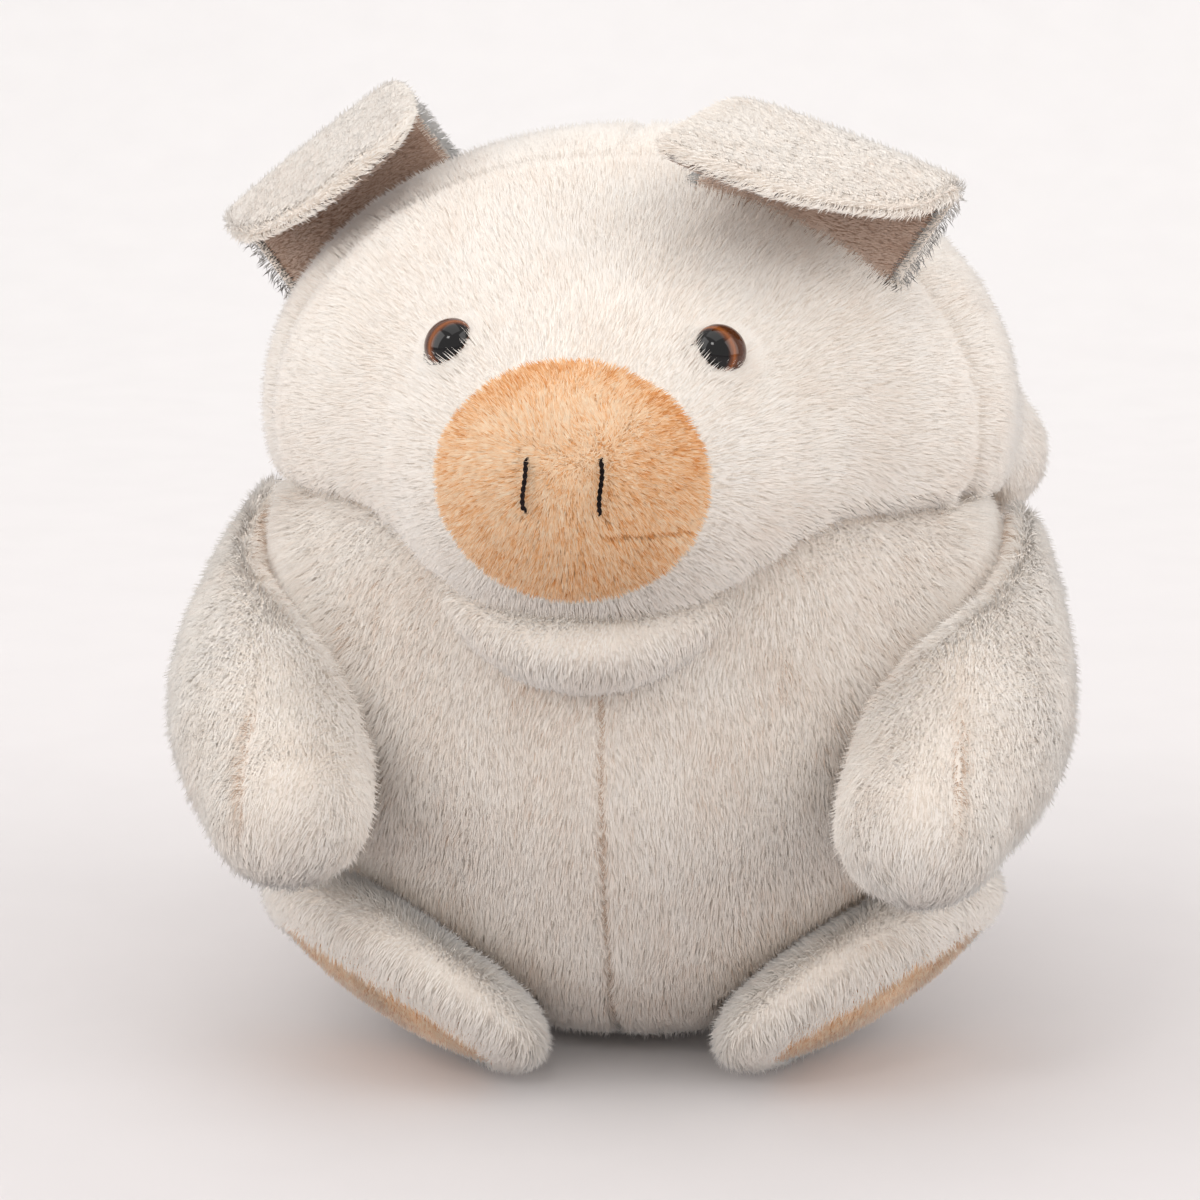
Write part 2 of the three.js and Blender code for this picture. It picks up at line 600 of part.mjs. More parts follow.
// Ears: two layers sewn together, upright from the head and folded forwards.
const joints = {};
for (const part of sides) {
  const ear = part.ear;
  const sideways = rad(ear.place) * part.side;
  const root = headPoint(vec(Math.sin(sideways), -ear.ahead, Math.cos(sideways)));
  const lean = rad(ear.lean) * part.side;
  const up = vec(Math.sin(lean), 0.12, Math.cos(lean)).normalize();
  const out = vec(Math.cos(rad(ear.slope)) * part.side, 0, -Math.sin(rad(ear.slope)));
  const ahead = up.clone().cross(out).multiplyScalar(-part.side).normalize();
  const stem = EAR_STEM + EAR_SUNK;
  const bend = EAR_FOLD_RADIUS * rad(EAR_FOLD);
  const total = stem + bend + EAR_FLAP;
  // The middle line of the fold and its outward side, at a distance s from the sewn edge.
  const foldAt = (s) => {
    const turn = THREE.MathUtils.clamp((s - stem) / EAR_FOLD_RADIUS, 0, rad(EAR_FOLD));
    const rise = Math.min(s, stem) - EAR_SUNK + EAR_FOLD_RADIUS * Math.sin(turn);
    const reach = EAR_FOLD_RADIUS * (1 - Math.cos(turn));
    const rest = Math.max(s - stem - bend, 0);
    const p = root.clone().addScaledVector(up, rise + rest * Math.cos(turn));
    p.addScaledVector(ahead, reach + rest * Math.sin(turn));
    const outer = up.clone().multiplyScalar(Math.sin(turn)).addScaledVector(ahead, -Math.cos(turn));
    return { p, outer };
  };
  // Half the width, and how far its middle has moved outwards.
  const widthAt = (s) => {
    const t = s / total;
    const taper = Math.max((t - EAR_TAPER) / (1.04 - EAR_TAPER), 0);
    const round = Math.sqrt(Math.max(1 - Math.pow(taper, 2.4), 0));
    const full = EAR_WIDTH / 2;
    const shift = -ear.tip * Math.max(t - EAR_TIP_FROM, 0) * 2 - ear.slant * full * (1 - round);
    return { w: full * round, shift };
  };
  const layer = (low, high) => {
    const rings = [];
    const across = 3;
    const along = 9;
    for (let i = -1; i <= along + 1; i++) {
      const s = (total * THREE.MathUtils.clamp(i, 0, along)) / along;
      const { p, outer } = foldAt(s);
      const { w, shift } = widthAt(s);
      const ring = [];
      const middle = (low + high) / 2;
      for (let j = 0; j <= across; j++) ring.push([-1 + (2 * j) / across, high]);
      for (let j = across; j >= 0; j--) ring.push([-1 + (2 * j) / across, low]);
      const closed = i < 0 || i > along;
      rings.push(
        ring.map(([u, h]) =>
          p
            .clone()
            .addScaledVector(out, closed ? shift : shift + u * w)
            .addScaledVector(outer, closed ? middle : h),
        ),
      );
    }
    return solidFrom(skinOver(rings));
  };
  const axis = ahead.clone().cross(up).normalize();
  const hinge = { point: root, axis, low: -EAR_DROP, high: EAR_LIFT };
  joints[part.name + "_ear"] = hinge;
  const headRoom = headForm(-SEAM_GAP, HEAD_DETAIL);
  const thick = FABRIC + SEAM_GAP / 2;
  const cut = (solid) => mainBody(carve(solid.subtract(solidFrom(headRoom)), headRoom, hinge, 4));
  add(part.name + "_ear_outer", cut(layer(half, thick)), looks.cream);
  add(part.name + "_ear_lining", cut(layer(-thick, -half)), looks.tan);
}

// Arms: they hang forwards from the shoulder and rise about a sideways line through it.
for (const part of sides) {
  const shoulder = torsoPoint(-SHOULDER_BACK, SHOULDER_RISE * TORSO_HEIGHT);
  const start = vec((shoulder.x - part.inset) * part.side, shoulder.y, shoulder.z);
  const drop = (t, outwards) =>
    start
      .clone()
      .add(
        vec(
          outwards * part.side,
          -ARM_LENGTH * t * Math.sin(rad(ARM_FORWARD)),
          -ARM_LENGTH * t * Math.cos(rad(ARM_FORWARD)),
        ),
      );
  const spine = [start, drop(0.36, 3), drop(0.72, 1), drop(1, -6)];
  const radii = [SHOULDER_RADIUS, ARM_RADIUS * 0.94, ARM_RADIUS, PAW_RADIUS];
  const hinge = { point: start, axis: vec(-1, 0, 0), low: -ARM_BACK, high: ARM_RAISE };
  joints[part.name + "_arm"] = hinge;
  const armSolid = (inset, room) => {
    let solid = solidFrom(limbForm(spine, radii, inset, inset ? 8 : 12, inset ? 4 : 6));
    solid = solid.subtract(solidFrom(torsoForm(-room, ROUND)));
    solid = carve(solid, torsoForm(-room - TURN_GAP / 2, ROUND), hinge, 3);
    for (const turn of [-HEAD_TURN, 0, HEAD_TURN]) {
      const head = headForm(-room - TURN_GAP, HEAD_DETAIL);
      solid = carve(solid, turned(head, neck.point, neck.axis, turn), hinge, 3);
    }
    return mainBody(solid);
  };
  const skin = armSolid(0, SEAM_GAP).subtract(armSolid(FABRIC, SEAM_GAP + FABRIC));
  const cut = start.x + ARM_SEAM_OUT * part.side;
  const outer = part.side > 0 ? xAbove(cut + half) : xBelow(cut - half);
  const inner = part.side > 0 ? xBelow(cut - half) : xAbove(cut + half);
  add(part.name + "_arm_outer", mainBody(skin.intersect(outer)), looks.cream);
  add(part.name + "_arm_inner", mainBody(skin.intersect(inner)), looks.cream);
  const fill = armSolid(FABRIC + FILL_GAP, SEAM_GAP + FABRIC + FILL_GAP);
  add(part.name + "_arm_stuffing", fill, looks.fill);
}

// Legs: an oval foot on the hip flat, with a tan sole, that turns about its own axis.
for (const part of sides) {
  const legProfile = [
    [0, 0],
    [0.74, 0],
    [0.96, 0.3],
    [0.98, 0.66],
    [0.78, 0.96],
  ].map(([r, h]) => new THREE.Vector2((r * LEG_LENGTH) / 2, SEAM_GAP + h * LEG_THICKNESS));
  legProfile.push(new THREE.Vector2((0.4 * LEG_LENGTH) / 2, SEAM_GAP + LEG_THICKNESS + 0.8 * SOLE_BULGE));
  legProfile.push(new THREE.Vector2(0, SEAM_GAP + LEG_THICKNESS + SOLE_BULGE));
  const legSolid = (inset, segments) =>
    solidFrom(
      roundForm(legProfile, inset, segments)
        .scale(1, LEG_WIDTH / LEG_LENGTH, 1)
        .applyMatrix4(part.leg),
    );
  const soleCut = (grow) => {
    const post = new THREE.CylinderGeometry(1, 1, FAR, 16).rotateX(Math.PI / 2);
    post.scale(SOLE_LENGTH / 2 + grow, SOLE_WIDTH / 2 + grow, 1);
    post.translate(0, 0, FAR / 2 + LEG_THICKNESS / 2);
    return solidFrom(post.applyMatrix4(part.leg));
  };
  const skin = legSolid(0, 16).subtract(legSolid(FABRIC, 10));
  add(part.name + "_leg_upper", mainBody(skin.subtract(soleCut(SEAM_GAP))), looks.cream);
  add(part.name + "_leg_sole", mainBody(skin.intersect(soleCut(0))), looks.tan);
  add(part.name + "_leg_stuffing", legSolid(FABRIC + FILL_GAP, 10), looks.fill);
  const normal = vec(0, 0, 0).setFromMatrixColumn(part.leg, 2);
  const point = vec(0, 0, 0).setFromMatrixPosition(part.leg);
  const [low, high] = [-LEG_TURN_DOWN, LEG_TURN_UP];
  joints[part.name + "_leg"] = { point, axis: normal.multiplyScalar(-part.side), low, high };
}

// Tail: a small curl behind the seat.
{
  const root = torsoPoint(-90, TAIL_RISE * TORSO_HEIGHT);
  const sway = [0, 0, 0.1, 0.45, 0.9];
  const reach = [-0.1, 1.2, 2.1, 1.95, 1.2];
  const lift = [0, 0, 0.65, 1.45, 1.3];
  const spine = reach.map((y, i) =>
    root.clone().add(vec(sway[i], y, lift[i]).multiplyScalar(TAIL_CURL)),
  );
  const radii = [TAIL_RADIUS, TAIL_RADIUS, TAIL_RADIUS * 0.85, TAIL_RADIUS * 0.7, TAIL_RADIUS * 0.5];
  const hinge = { point: root, axis: vec(0, 1, 0), low: -TAIL_WAG, high: TAIL_WAG };
  joints.tail = hinge;
  const tail = solidFrom(limbForm(spine, radii, 0, 8, 8));
  add("tail", mainBody(carve(tail, torsoForm(-SEAM_GAP, ROUND), hinge, 4)), looks.cream);
}

// The head rests turned by its yaw, and its joint counts from there.
const yawed = /^(head_|snout|chin|(left|right)_(eye|nostril|ear)_)/;
for (const mesh of group.children) {
  if (yawed.test(mesh.name)) mesh.geometry = turned(mesh.geometry, neck.point, neck.axis, HEAD_YAW);
}
for (const name of ["left_ear", "right_ear"]) {
  joints[name].point.sub(neck.point).applyAxisAngle(neck.axis, rad(HEAD_YAW)).add(neck.point);
  joints[name].axis.applyAxisAngle(neck.axis, rad(HEAD_YAW));
}
joints.head = { ...neck, low: neck.low - HEAD_YAW, high: neck.high - HEAD_YAW };

// The frame's origin is the middle of the bottom of the whole toy.
const bounds = new THREE.Box3().setFromObject(group);
const middle = bounds.getCenter(new THREE.Vector3());
const shift = vec(-middle.x, -middle.y, -bounds.min.z);
for (const mesh of group.children) mesh.geometry.translate(shift.x, shift.y, shift.z);
for (const hinge of Object.values(joints)) hinge.point = hinge.point.clone().add(shift);
group.userData.joints = joints;

export default group;
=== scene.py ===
import json
import math

import bmesh
import bpy
import numpy as np
from mathutils import Matrix, Vector


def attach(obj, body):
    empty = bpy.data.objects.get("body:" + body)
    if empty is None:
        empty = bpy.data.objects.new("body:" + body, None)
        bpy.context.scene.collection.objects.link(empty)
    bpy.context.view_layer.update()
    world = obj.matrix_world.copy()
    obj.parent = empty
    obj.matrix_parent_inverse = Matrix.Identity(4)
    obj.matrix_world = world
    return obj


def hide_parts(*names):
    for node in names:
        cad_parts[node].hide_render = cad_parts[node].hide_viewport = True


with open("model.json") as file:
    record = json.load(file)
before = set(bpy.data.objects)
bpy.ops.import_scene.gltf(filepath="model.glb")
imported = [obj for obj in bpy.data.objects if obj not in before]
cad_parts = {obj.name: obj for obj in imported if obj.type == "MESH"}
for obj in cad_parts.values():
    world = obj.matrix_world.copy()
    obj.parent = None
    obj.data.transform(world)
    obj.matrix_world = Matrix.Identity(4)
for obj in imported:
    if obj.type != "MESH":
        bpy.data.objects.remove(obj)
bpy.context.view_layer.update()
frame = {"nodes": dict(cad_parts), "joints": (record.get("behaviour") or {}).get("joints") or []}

MM = 0.001
JOINTS = {j["name"]: j for j in frame["joints"]}
scene = bpy.context.scene
rad = math.radians

# Sizes in millimetres, as in the solid model
AXIS_Y = JOINTS["head_turn"]["pos_m"][1] / MM
SKIN = 3.6  # the backing cloth lies this far under the pile's surface
TORSO_W, TORSO_D, TORSO_H, SEAT_R = 192.0, 174.0, 148.0, 36.0
TORSO_SHAPE = [
    (0.5, 0.03), (0.64, 0.085), (0.79, 0.19), (0.91, 0.32), (0.98, 0.45), (1.0, 0.57),
    (0.99, 0.7), (0.965, 0.8), (0.92, 0.88), (0.81, 0.945), (0.52, 0.985),
]
HEAD_YAW = -3.0
FACE_HALF = 44.0
EAR_SEAM = AXIS_Y - 24.0
SIDE_SEAM = 12.0 + AXIS_Y
SKULL_AT = np.array([0.0, AXIS_Y + 4, 152.0])
SKULL_HALF = np.array([94.0, 83.0, 69.5])
MUZZLE_FRONT = AXIS_Y + 4 - 83 - 32
MUZZLE_AT = np.array([0.0, MUZZLE_FRONT + 46, 150.0])
MUZZLE_HALF = np.array([46.0, 46.0, 40.0])
NAPE_AT = np.array([0.0, AXIS_Y + 35, 137.0])
NAPE_HALF = np.array([101.0, 50.0, 38.0])
SNOUT_W, SNOUT_H, SNOUT_Z = 55.0, 47.0, 152.0
CHIN_AT = np.array([0.0, MUZZLE_FRONT + 12 + 22, 112.0])
CHIN_HALF = np.array([37.0, 22.0, 13.0])
SIDES = (("left", 1), ("right", -1))


# Small helpers
def unit(v):
    return v / np.maximum(np.linalg.norm(v, axis=-1, keepdims=True), 1e-9)


def smooth(t):
    t = np.clip(t, 0.0, 1.0)
    return t * t * (3 - 2 * t)


def curve_through(points, count):
    """A smooth curve through the points, evenly sampled."""
    p = np.array(points, float)
    p = np.vstack([2 * p[0] - p[1], p, 2 * p[-1] - p[-2]])
    out = []
    for i in range(1, len(p) - 2):
        t = np.linspace(0, 1, 40, endpoint=False)[:, None]
        a, b, c, d = p[i - 1], p[i], p[i + 1], p[i + 2]
        square = (2 * a - 5 * b + 4 * c - d) * t**2
        cube = (3 * b - a - 3 * c + d) * t**3
        out.append(0.5 * (2 * b + (c - a) * t + square + cube))
    line = np.vstack(out + [p[-2][None]])
    way = np.concatenate([[0], np.cumsum(np.linalg.norm(np.diff(line, axis=0), axis=1))])
    want = np.linspace(0, way[-1], count)
    return np.stack([np.interp(want, way, line[:, k]) for k in range(line.shape[1])], axis=1)


def turned(p, point, axis, degrees):
    """The points turned about an axis through that point."""
    k = unit(np.array(axis, float))
    v = p - np.array(point)
    c, s = math.cos(rad(degrees)), math.sin(rad(degrees))
    return v * c + np.cross(k, v) * s + np.outer(v @ k, k) * (1 - c) + np.array(point)


def yawed(p, back=False):
    """From the straight head to the head as it rests, or back."""
    return turned(p, (0, AXIS_Y, 0), (0, 0, 1), -HEAD_YAW if back else HEAD_YAW)


def lattice(ix, iy, iz, seed):
    """An even random number from 0 to 1 for each cell."""
    x, y, z = ix.astype(np.int64), iy.astype(np.int64), iz.astype(np.int64)
    h = (x * 73856093) ^ (y * 19349663) ^ (z * 83492791)
    h = (h ^ (seed * 2654435761)) & 0xFFFFFFFF
    h = ((h ^ (h >> 15)) * 2246822519) & 0xFFFFFFFF
    h = ((h ^ (h >> 13)) * 3266489917) & 0xFFFFFFFF
    return (h ^ (h >> 16)).astype(np.float64) / 0xFFFFFFFF


def noise(p, size, seed):
    """Smooth noise from -1 to 1 with grains of that size."""
    q = p / size
    i = np.floor(q)
    f = smooth(q - i)
    total = 0
    for dx in (0, 1):
        for dy in (0, 1):
            for dz in (0, 1):
                w = (f[:, 0] if dx else 1 - f[:, 0]) * (f[:, 1] if dy else 1 - f[:, 1])
                w = w * (f[:, 2] if dz else 1 - f[:, 2])
                total = total + w * lattice(i[:, 0] + dx, i[:, 1] + dy, i[:, 2] + dz, seed)
    return 2 * total - 1


def noise3(p, size, seed):
    return np.stack([noise(p, size, seed + k) for k in range(3)], axis=1)


# Meshes
def mesh_object(name, points, faces):
    me = bpy.data.meshes.new(name)
    me.from_pydata((np.asarray(points) * MM).tolist(), [], faces)
    me.update()
    ob = bpy.data.objects.new(name, me)
    scene.collection.objects.link(ob)
    return ob


def rounded(ob):
    ob.data.polygons.foreach_set("use_smooth", np.ones(len(ob.data.polygons), bool))


def points_of(ob):
    co = np.empty(len(ob.data.vertices) * 3)
    ob.data.vertices.foreach_get("co", co)
    return co.reshape(-1, 3) / MM


def set_points(ob, p):
    ob.data.vertices.foreach_set("co", (p * MM).ravel())
    ob.data.update()


def ring_faces(rings, count):
    """Faces of a closed skin over rings of equal count, with one point at each end."""
    faces = []
    for j in range(count):
        k = (j + 1) % count
        faces.append((0, 1 + k, 1 + j))
    for i in range(rings - 1):
        a, b = 1 + i * count, 1 + (i + 1) * count
        for j in range(count):
            k = (j + 1) % count
            faces.append((a + j, a + k, b + k, b + j))
    last = 1 + rings * count
    a = 1 + (rings - 1) * count
    for j in range(count):
        faces.append((a + j, a + (j + 1) % count, last))
    return faces


def applied(ob):
    """Puts the result of the modifiers into the mesh."""
    dg = bpy.context.evaluated_depsgraph_get()
    made = bpy.data.meshes.new_from_object(ob.evaluated_get(dg))
    ob.modifiers.clear()
    ob.data = made
    return ob


def facing_out(ob):
    bm = bmesh.new()
    bm.from_mesh(ob.data)
    bmesh.ops.recalc_face_normals(bm, faces=bm.faces)
    bm.to_mesh(ob.data)
    bm.free()
    ob.data.update()
    return ob


def swollen(ob, pinned, cap, pressure, frames):
    """Cloth under pressure: the panels swell between the pinned seams, by at most the cap."""
    rest = points_of(ob)
    group = ob.vertex_groups.new(name="seams")
    weight = np.clip(pinned(rest), 0, 1)
    for i in np.nonzero(weight > 0.02)[0]:
        group.add([int(i)], float(weight[i]), "REPLACE")
    cloth = ob.modifiers.new("cloth", "CLOTH")
    cloth.settings.quality = 5
    cloth.settings.mass = 0.3
    cloth.settings.tension_stiffness = 15
    cloth.settings.compression_stiffness = 15
    cloth.settings.shear_stiffness = 5
    cloth.settings.bending_stiffness = 0.5
    cloth.settings.use_pressure = True
    cloth.settings.uniform_pressure_force = pressure
    cloth.settings.vertex_group_mass = "seams"
    cloth.settings.effector_weights.gravity = 0
    cloth.collision_settings.use_collision = False
    for f in range(1, frames + 1):
        scene.frame_set(f)
    applied(ob)
    scene.frame_set(1)
    move = points_of(ob) - rest
    far = np.linalg.norm(move, axis=1, keepdims=True)
    set_points(ob, rest + move * np.minimum(1, cap / np.maximum(far, 1e-9)))
    ob.vertex_groups.clear()


def puffed(ob, pinned, voxel, cap, pressure=4.0, frames=20):
    """An even skin, swollen between its seams and then made finer."""
    remesh = ob.modifiers.new("even", "REMESH")
    remesh.mode = "VOXEL"
    remesh.voxel_size = voxel * MM
    applied(ob)
    swollen(ob, pinned, cap, pressure, frames)
    fine = ob.modifiers.new("fine", "SUBSURF")
    fine.levels = 1
    fine.render_levels = 1
    applied(ob)
    return facing_out(ob)


def relaxed(ob, times, where=None):
    """Rounds off the sharp edges that a cut leaves, everywhere or as far as the weights say."""
    ease = ob.modifiers.new("ease", "SMOOTH")
    ease.factor = 0.5
    ease.iterations = times
    if where is not None:
        group = ob.vertex_groups.new(name="ease")
        for i in np.nonzero(where > 0.02)[0]:
            group.add([int(i)], float(where[i]), "REPLACE")
        ease.vertex_group = "ease"
    applied(ob)
    ob.vertex_groups.clear()
    return facing_out(ob)


# Torso form
def torso_curve():
    side = [(SEAT_R - 8, 0), (SEAT_R, 0.6)] + [(r * TORSO_W / 2, h * TORSO_H) for r, h in TORSO_SHAPE]
    line = curve_through(side + [(14, TORSO_H - 0.2), (0, TORSO_H)], 400)
    line[:, 1] = np.maximum(line[:, 1], 0)
    return line


TORSO_LINE = torso_curve()
TORSO_TOP = int(np.argmax(TORSO_LINE[:, 0]))


def torso_radius(z):
    return np.interp(z, TORSO_LINE[:, 1], TORSO_LINE[:, 0])


def torso_dome(radius):
    """Height of the torso's top at that radius."""
    upper = TORSO_LINE[TORSO_TOP:][::-1]
    return np.interp(radius, upper[:, 0], upper[:, 1])


def torso_spread(p):
    return np.hypot(p[:, 0], (p[:, 1] - AXIS_Y) * TORSO_W / TORSO_D)


def torso_gap(p):
    """Distance outside the torso's side, roughly."""
    return torso_spread(p) - torso_radius(np.clip(p[:, 2], 1, TORSO_H - 1))


def torso_outward(p):
    depth = (TORSO_W / TORSO_D) ** 2
    return unit(np.stack([p[:, 0], (p[:, 1] - AXIS_Y) * depth, np.zeros(len(p))], axis=1))


LEG_AHEAD = {"left": 0, "right": 10}  # degrees to the front


def leg_place(name, side):
    """Hip, way out of it, way to the toe and way across the leg."""
    joint = JOINTS[name + "_leg_turn"]
    out = unit(-side * np.array(joint["axis"], float))
    toe = np.array([[-0.79 * side, -0.68, -0.25]])
    toe = turned(toe, (0, 0, 0), (0, 0, 1), -side * LEG_AHEAD[name])[0]
    toe = unit(toe - out * (toe @ out))
    return {"at": np.array(joint["pos_m"]) / MM, "out": out, "toe": toe, "wide": np.cross(out, toe)}


LEGS = {name: leg_place(name, side) for name, side in SIDES}


def hip_flat(p, inset):
    """The torso is pressed flat behind each leg."""
    for leg in LEGS.values():
        past = np.maximum((p - leg["at"]) @ leg["out"] + inset, 0)
        p = p - past[:, None] * leg["out"]
    return p


def torso_mesh(name, inset):
    along = unit(np.gradient(TORSO_LINE, axis=0))
    inner = TORSO_LINE - inset * np.stack([along[:, 1], -along[:, 0]], axis=1)
    inner[:, 0] = np.maximum(inner[:, 0], 0.5)
    pick = inner[np.linspace(2, len(inner) - 6, 80).astype(int)]
    count = 120
    turn = np.linspace(0, 2 * np.pi, count, endpoint=False)
    depth = TORSO_D / TORSO_W
    rings = []
    for r, z in pick:
        level = np.full(count, max(z, inset))
        rings.append(np.stack([r * np.cos(turn), r * depth * np.sin(turn) + AXIS_Y, level], axis=1))
    p = np.vstack([[[0, AXIS_Y, inset]], *rings, [[0, AXIS_Y, TORSO_H - inset]]])
    return facing_out(mesh_object(name, p, ring_faces(len(rings), count)))


def make_torso():
    ob = torso_mesh("torso_skin", SKIN)
    set_points(ob, hip_flat(points_of(ob), SKIN))
    return ob


# Head form
def oval(p, at, half):
    """Distance from an ellipsoid, roughly."""
    q = (p - at) / half
    k = np.linalg.norm(q, axis=1)
    slope = np.linalg.norm(q / half, axis=1)
    return k * (k - 1) / np.maximum(slope, 1e-9)


def flow(a, b, width):
    """Two forms that run into each other over that width."""
    h = np.maximum(width - np.abs(a - b), 0) / width
    return np.minimum(a, b) - h * h * width / 4


def head_distance(p):
    front = flow(oval(p, SKULL_AT, SKULL_HALF), oval(p, MUZZLE_AT, MUZZLE_HALF), 24.0)
    return flow(front, oval(p, NAPE_AT, NAPE_HALF), 12.0)


def head_point(direction, inset=0.0):
    """Points of the head's surface in those directions from the middle of the skull."""
    d = unit(np.atleast_2d(np.array(direction, float)))
    low, high = np.zeros(len(d)), np.full(len(d), 360.0)
    for _ in range(32):
        middle = (low + high) / 2
        outside = head_distance(SKULL_AT + d * middle[:, None]) + inset > 0
        high = np.where(outside, middle, high)
        low = np.where(outside, low, middle)
    return SKULL_AT + d * low[:, None]


def head_normal(p):
    e = 0.5
    steps = [np.eye(3)[k] * e for k in range(3)]
    return unit(np.stack([head_distance(p + s) - head_distance(p - s) for s in steps], axis=1))


def eye_place(side):
    turn, lift = rad(20) * side, rad(17)
    aim = (math.sin(turn) * math.cos(lift), -math.cos(turn) * math.cos(lift), math.sin(lift))
    p = head_point(aim)
    return p[0], head_normal(p)[0]


def clear_of_torso(p, gap):
    """Points inside the torso's dome rise to just above it."""
    spread = torso_spread(p)
    dome = torso_dome(np.minimum(spread, TORSO_W / 2)) + gap
    inside = (spread < TORSO_W / 2) & (p[:, 2] < dome)
    p = p.copy()
    p[inside, 2] = dome[inside]
    return p


def head_mesh(name, inset, detail):
    bm = bmesh.new()
    bmesh.ops.create_icosphere(bm, subdivisions=detail, radius=1)
    me = bpy.data.meshes.new(name)
    bm.to_mesh(me)
    bm.free()
    ob = bpy.data.objects.new(name, me)
    scene.collection.objects.link(ob)
    set_points(ob, head_point(points_of(ob), inset))
    return ob


def make_head():
    ob = head_mesh("head_skin", SKIN, 7)
    p = points_of(ob)
    aside = smooth((np.abs(p[:, 0]) - 50) / 25) * near_seam(p[:, 1] - EAR_SEAM, 9.0)
    p = p - head_normal(p) * (1.8 * aside)[:, None]
    set_points(ob, clear_of_torso(yawed(p), 1.0))
    return ob


def make_chin():
    rings, count = 24, 48
    half = CHIN_HALF - SKIN * 0.8
    rows = []
    for i in range(1, rings + 1):
        a = math.pi * i / (rings + 1)
        turn = np.linspace(0, 2 * np.pi, count, endpoint=False)
        x = np.full(count, -math.cos(a))
        rows.append(np.stack([x, math.sin(a) * np.cos(turn), math.sin(a) * np.sin(turn)], axis=1))
    p = np.vstack([[[-1, 0, 0]], *rows, [[1, 0, 0]]])
    p = p * half
    # the lip curves up at its ends, as under a mouth line
    p[:, 2] += 9.0 * (p[:, 0] / half[0]) ** 2
    p[:, 1] += 10.0 * (p[:, 0] / half[0]) ** 2
    p = p + CHIN_AT
    return facing_out(mesh_object("chin_skin", yawed(p), ring_faces(rings, count)))


# Limbs
def limb(points, radii, sides, rings, caps, across=(1, 0, 0)):
    """A round limb with dome ends along a curve."""
    spine = curve_through(points, rings + 1)
    line = curve_through([[i, r] for i, r in enumerate(radii)], 80)
    width = np.interp(np.linspace(0, len(radii) - 1, rings + 1), line[:, 0], line[:, 1])
    along = unit(np.gradient(spine, axis=0))
    rows = []
    tilts = [(0, -90 + 90 * i / caps) for i in range(1, caps + 1)]
    tilts += [(i, 0) for i in range(1, rings)]
    tilts += [(rings, 90 * i / caps) for i in range(caps)]
    for i, tilt in tilts:
        a = along[i]
        x = unit(np.array(across, float) - a * (np.array(across, float) @ a))
        y = np.cross(a, x)
        r = width[i]
        turn = np.linspace(0, 2 * np.pi, sides, endpoint=False)[:, None]
        centre = spine[i] + a * r * math.sin(rad(tilt))
        rows.append(centre + r * math.cos(rad(tilt)) * (x * np.cos(turn) + y * np.sin(turn)))
    first = spine[0] - along[0] * width[0]
    last = spine[-1] + along[-1] * width[-1]
    return np.vstack([[first], *rows, [last]]), ring_faces(len(rows), sides)


def cut_by(ob, tool, matrices):
    """Takes the tool away from the piece, once for each place of the tool."""
    for matrix in matrices:
        tool.matrix_world = matrix
        bpy.context.view_layer.update()
        cut = ob.modifiers.new("cut", "BOOLEAN")
        cut.operation = "DIFFERENCE"
        cut.solver = "EXACT"
        cut.object = tool
        applied(ob)
    bpy.data.objects.remove(tool)


def about(point, axis, degrees):
    shift = Matrix.Translation(Vector(point) * MM)
    return shift @ Matrix.Rotation(rad(degrees), 4, Vector(axis)) @ shift.inverted()


ARM_LENGTH, ARM_SLOPE = 103.0, rad(64)
ARM_LINE = [(0, 0, 23), (0.36, 3, 25.4), (0.72, 1, 27), (1, -6, 20)]  # way along, outwards, radius
SHOULDERS = {name: np.array(JOINTS[name + "_arm_raise"]["pos_m"]) / MM for name, _ in SIDES}


def arm_points(name, side):
    fall = np.array([0, -math.sin(ARM_SLOPE), -math.cos(ARM_SLOPE)]) * ARM_LENGTH
    return [SHOULDERS[name] + fall * t + np.array([out * side, 0, 0]) for t, out, _ in ARM_LINE]


def arm_gap(p):
    """Distance from the nearer arm, roughly."""
    gap = np.full(len(p), 99.0)
    for name, side in SIDES:
        spine = curve_through(arm_points(name, side), 25)
        width = np.interp(np.linspace(0, 3, 25), range(4), [r for _, _, r in ARM_LINE])
        for centre, r in zip(spine, width):
            gap = np.minimum(gap, np.linalg.norm(p - centre, axis=1) - r)
    return gap


def make_arm(name, side):
    axis = JOINTS[name + "_arm_raise"]["axis"]
    p, faces = limb(arm_points(name, side), [r - SKIN for _, _, r in ARM_LINE], 40, 44, 10)
    ob = facing_out(mesh_object(name + "_arm_skin", p, faces))
    turns = [about(SHOULDERS[name], axis, -angle) for angle in (0, 15, 30, 45)]
    cut_by(ob, torso_mesh("torso_tool", -0.8), turns)
    tool = head_mesh("head_tool", -1.2, 5)
    set_points(tool, yawed(points_of(tool)))
    cut_by(ob, tool, turns)
    return ob


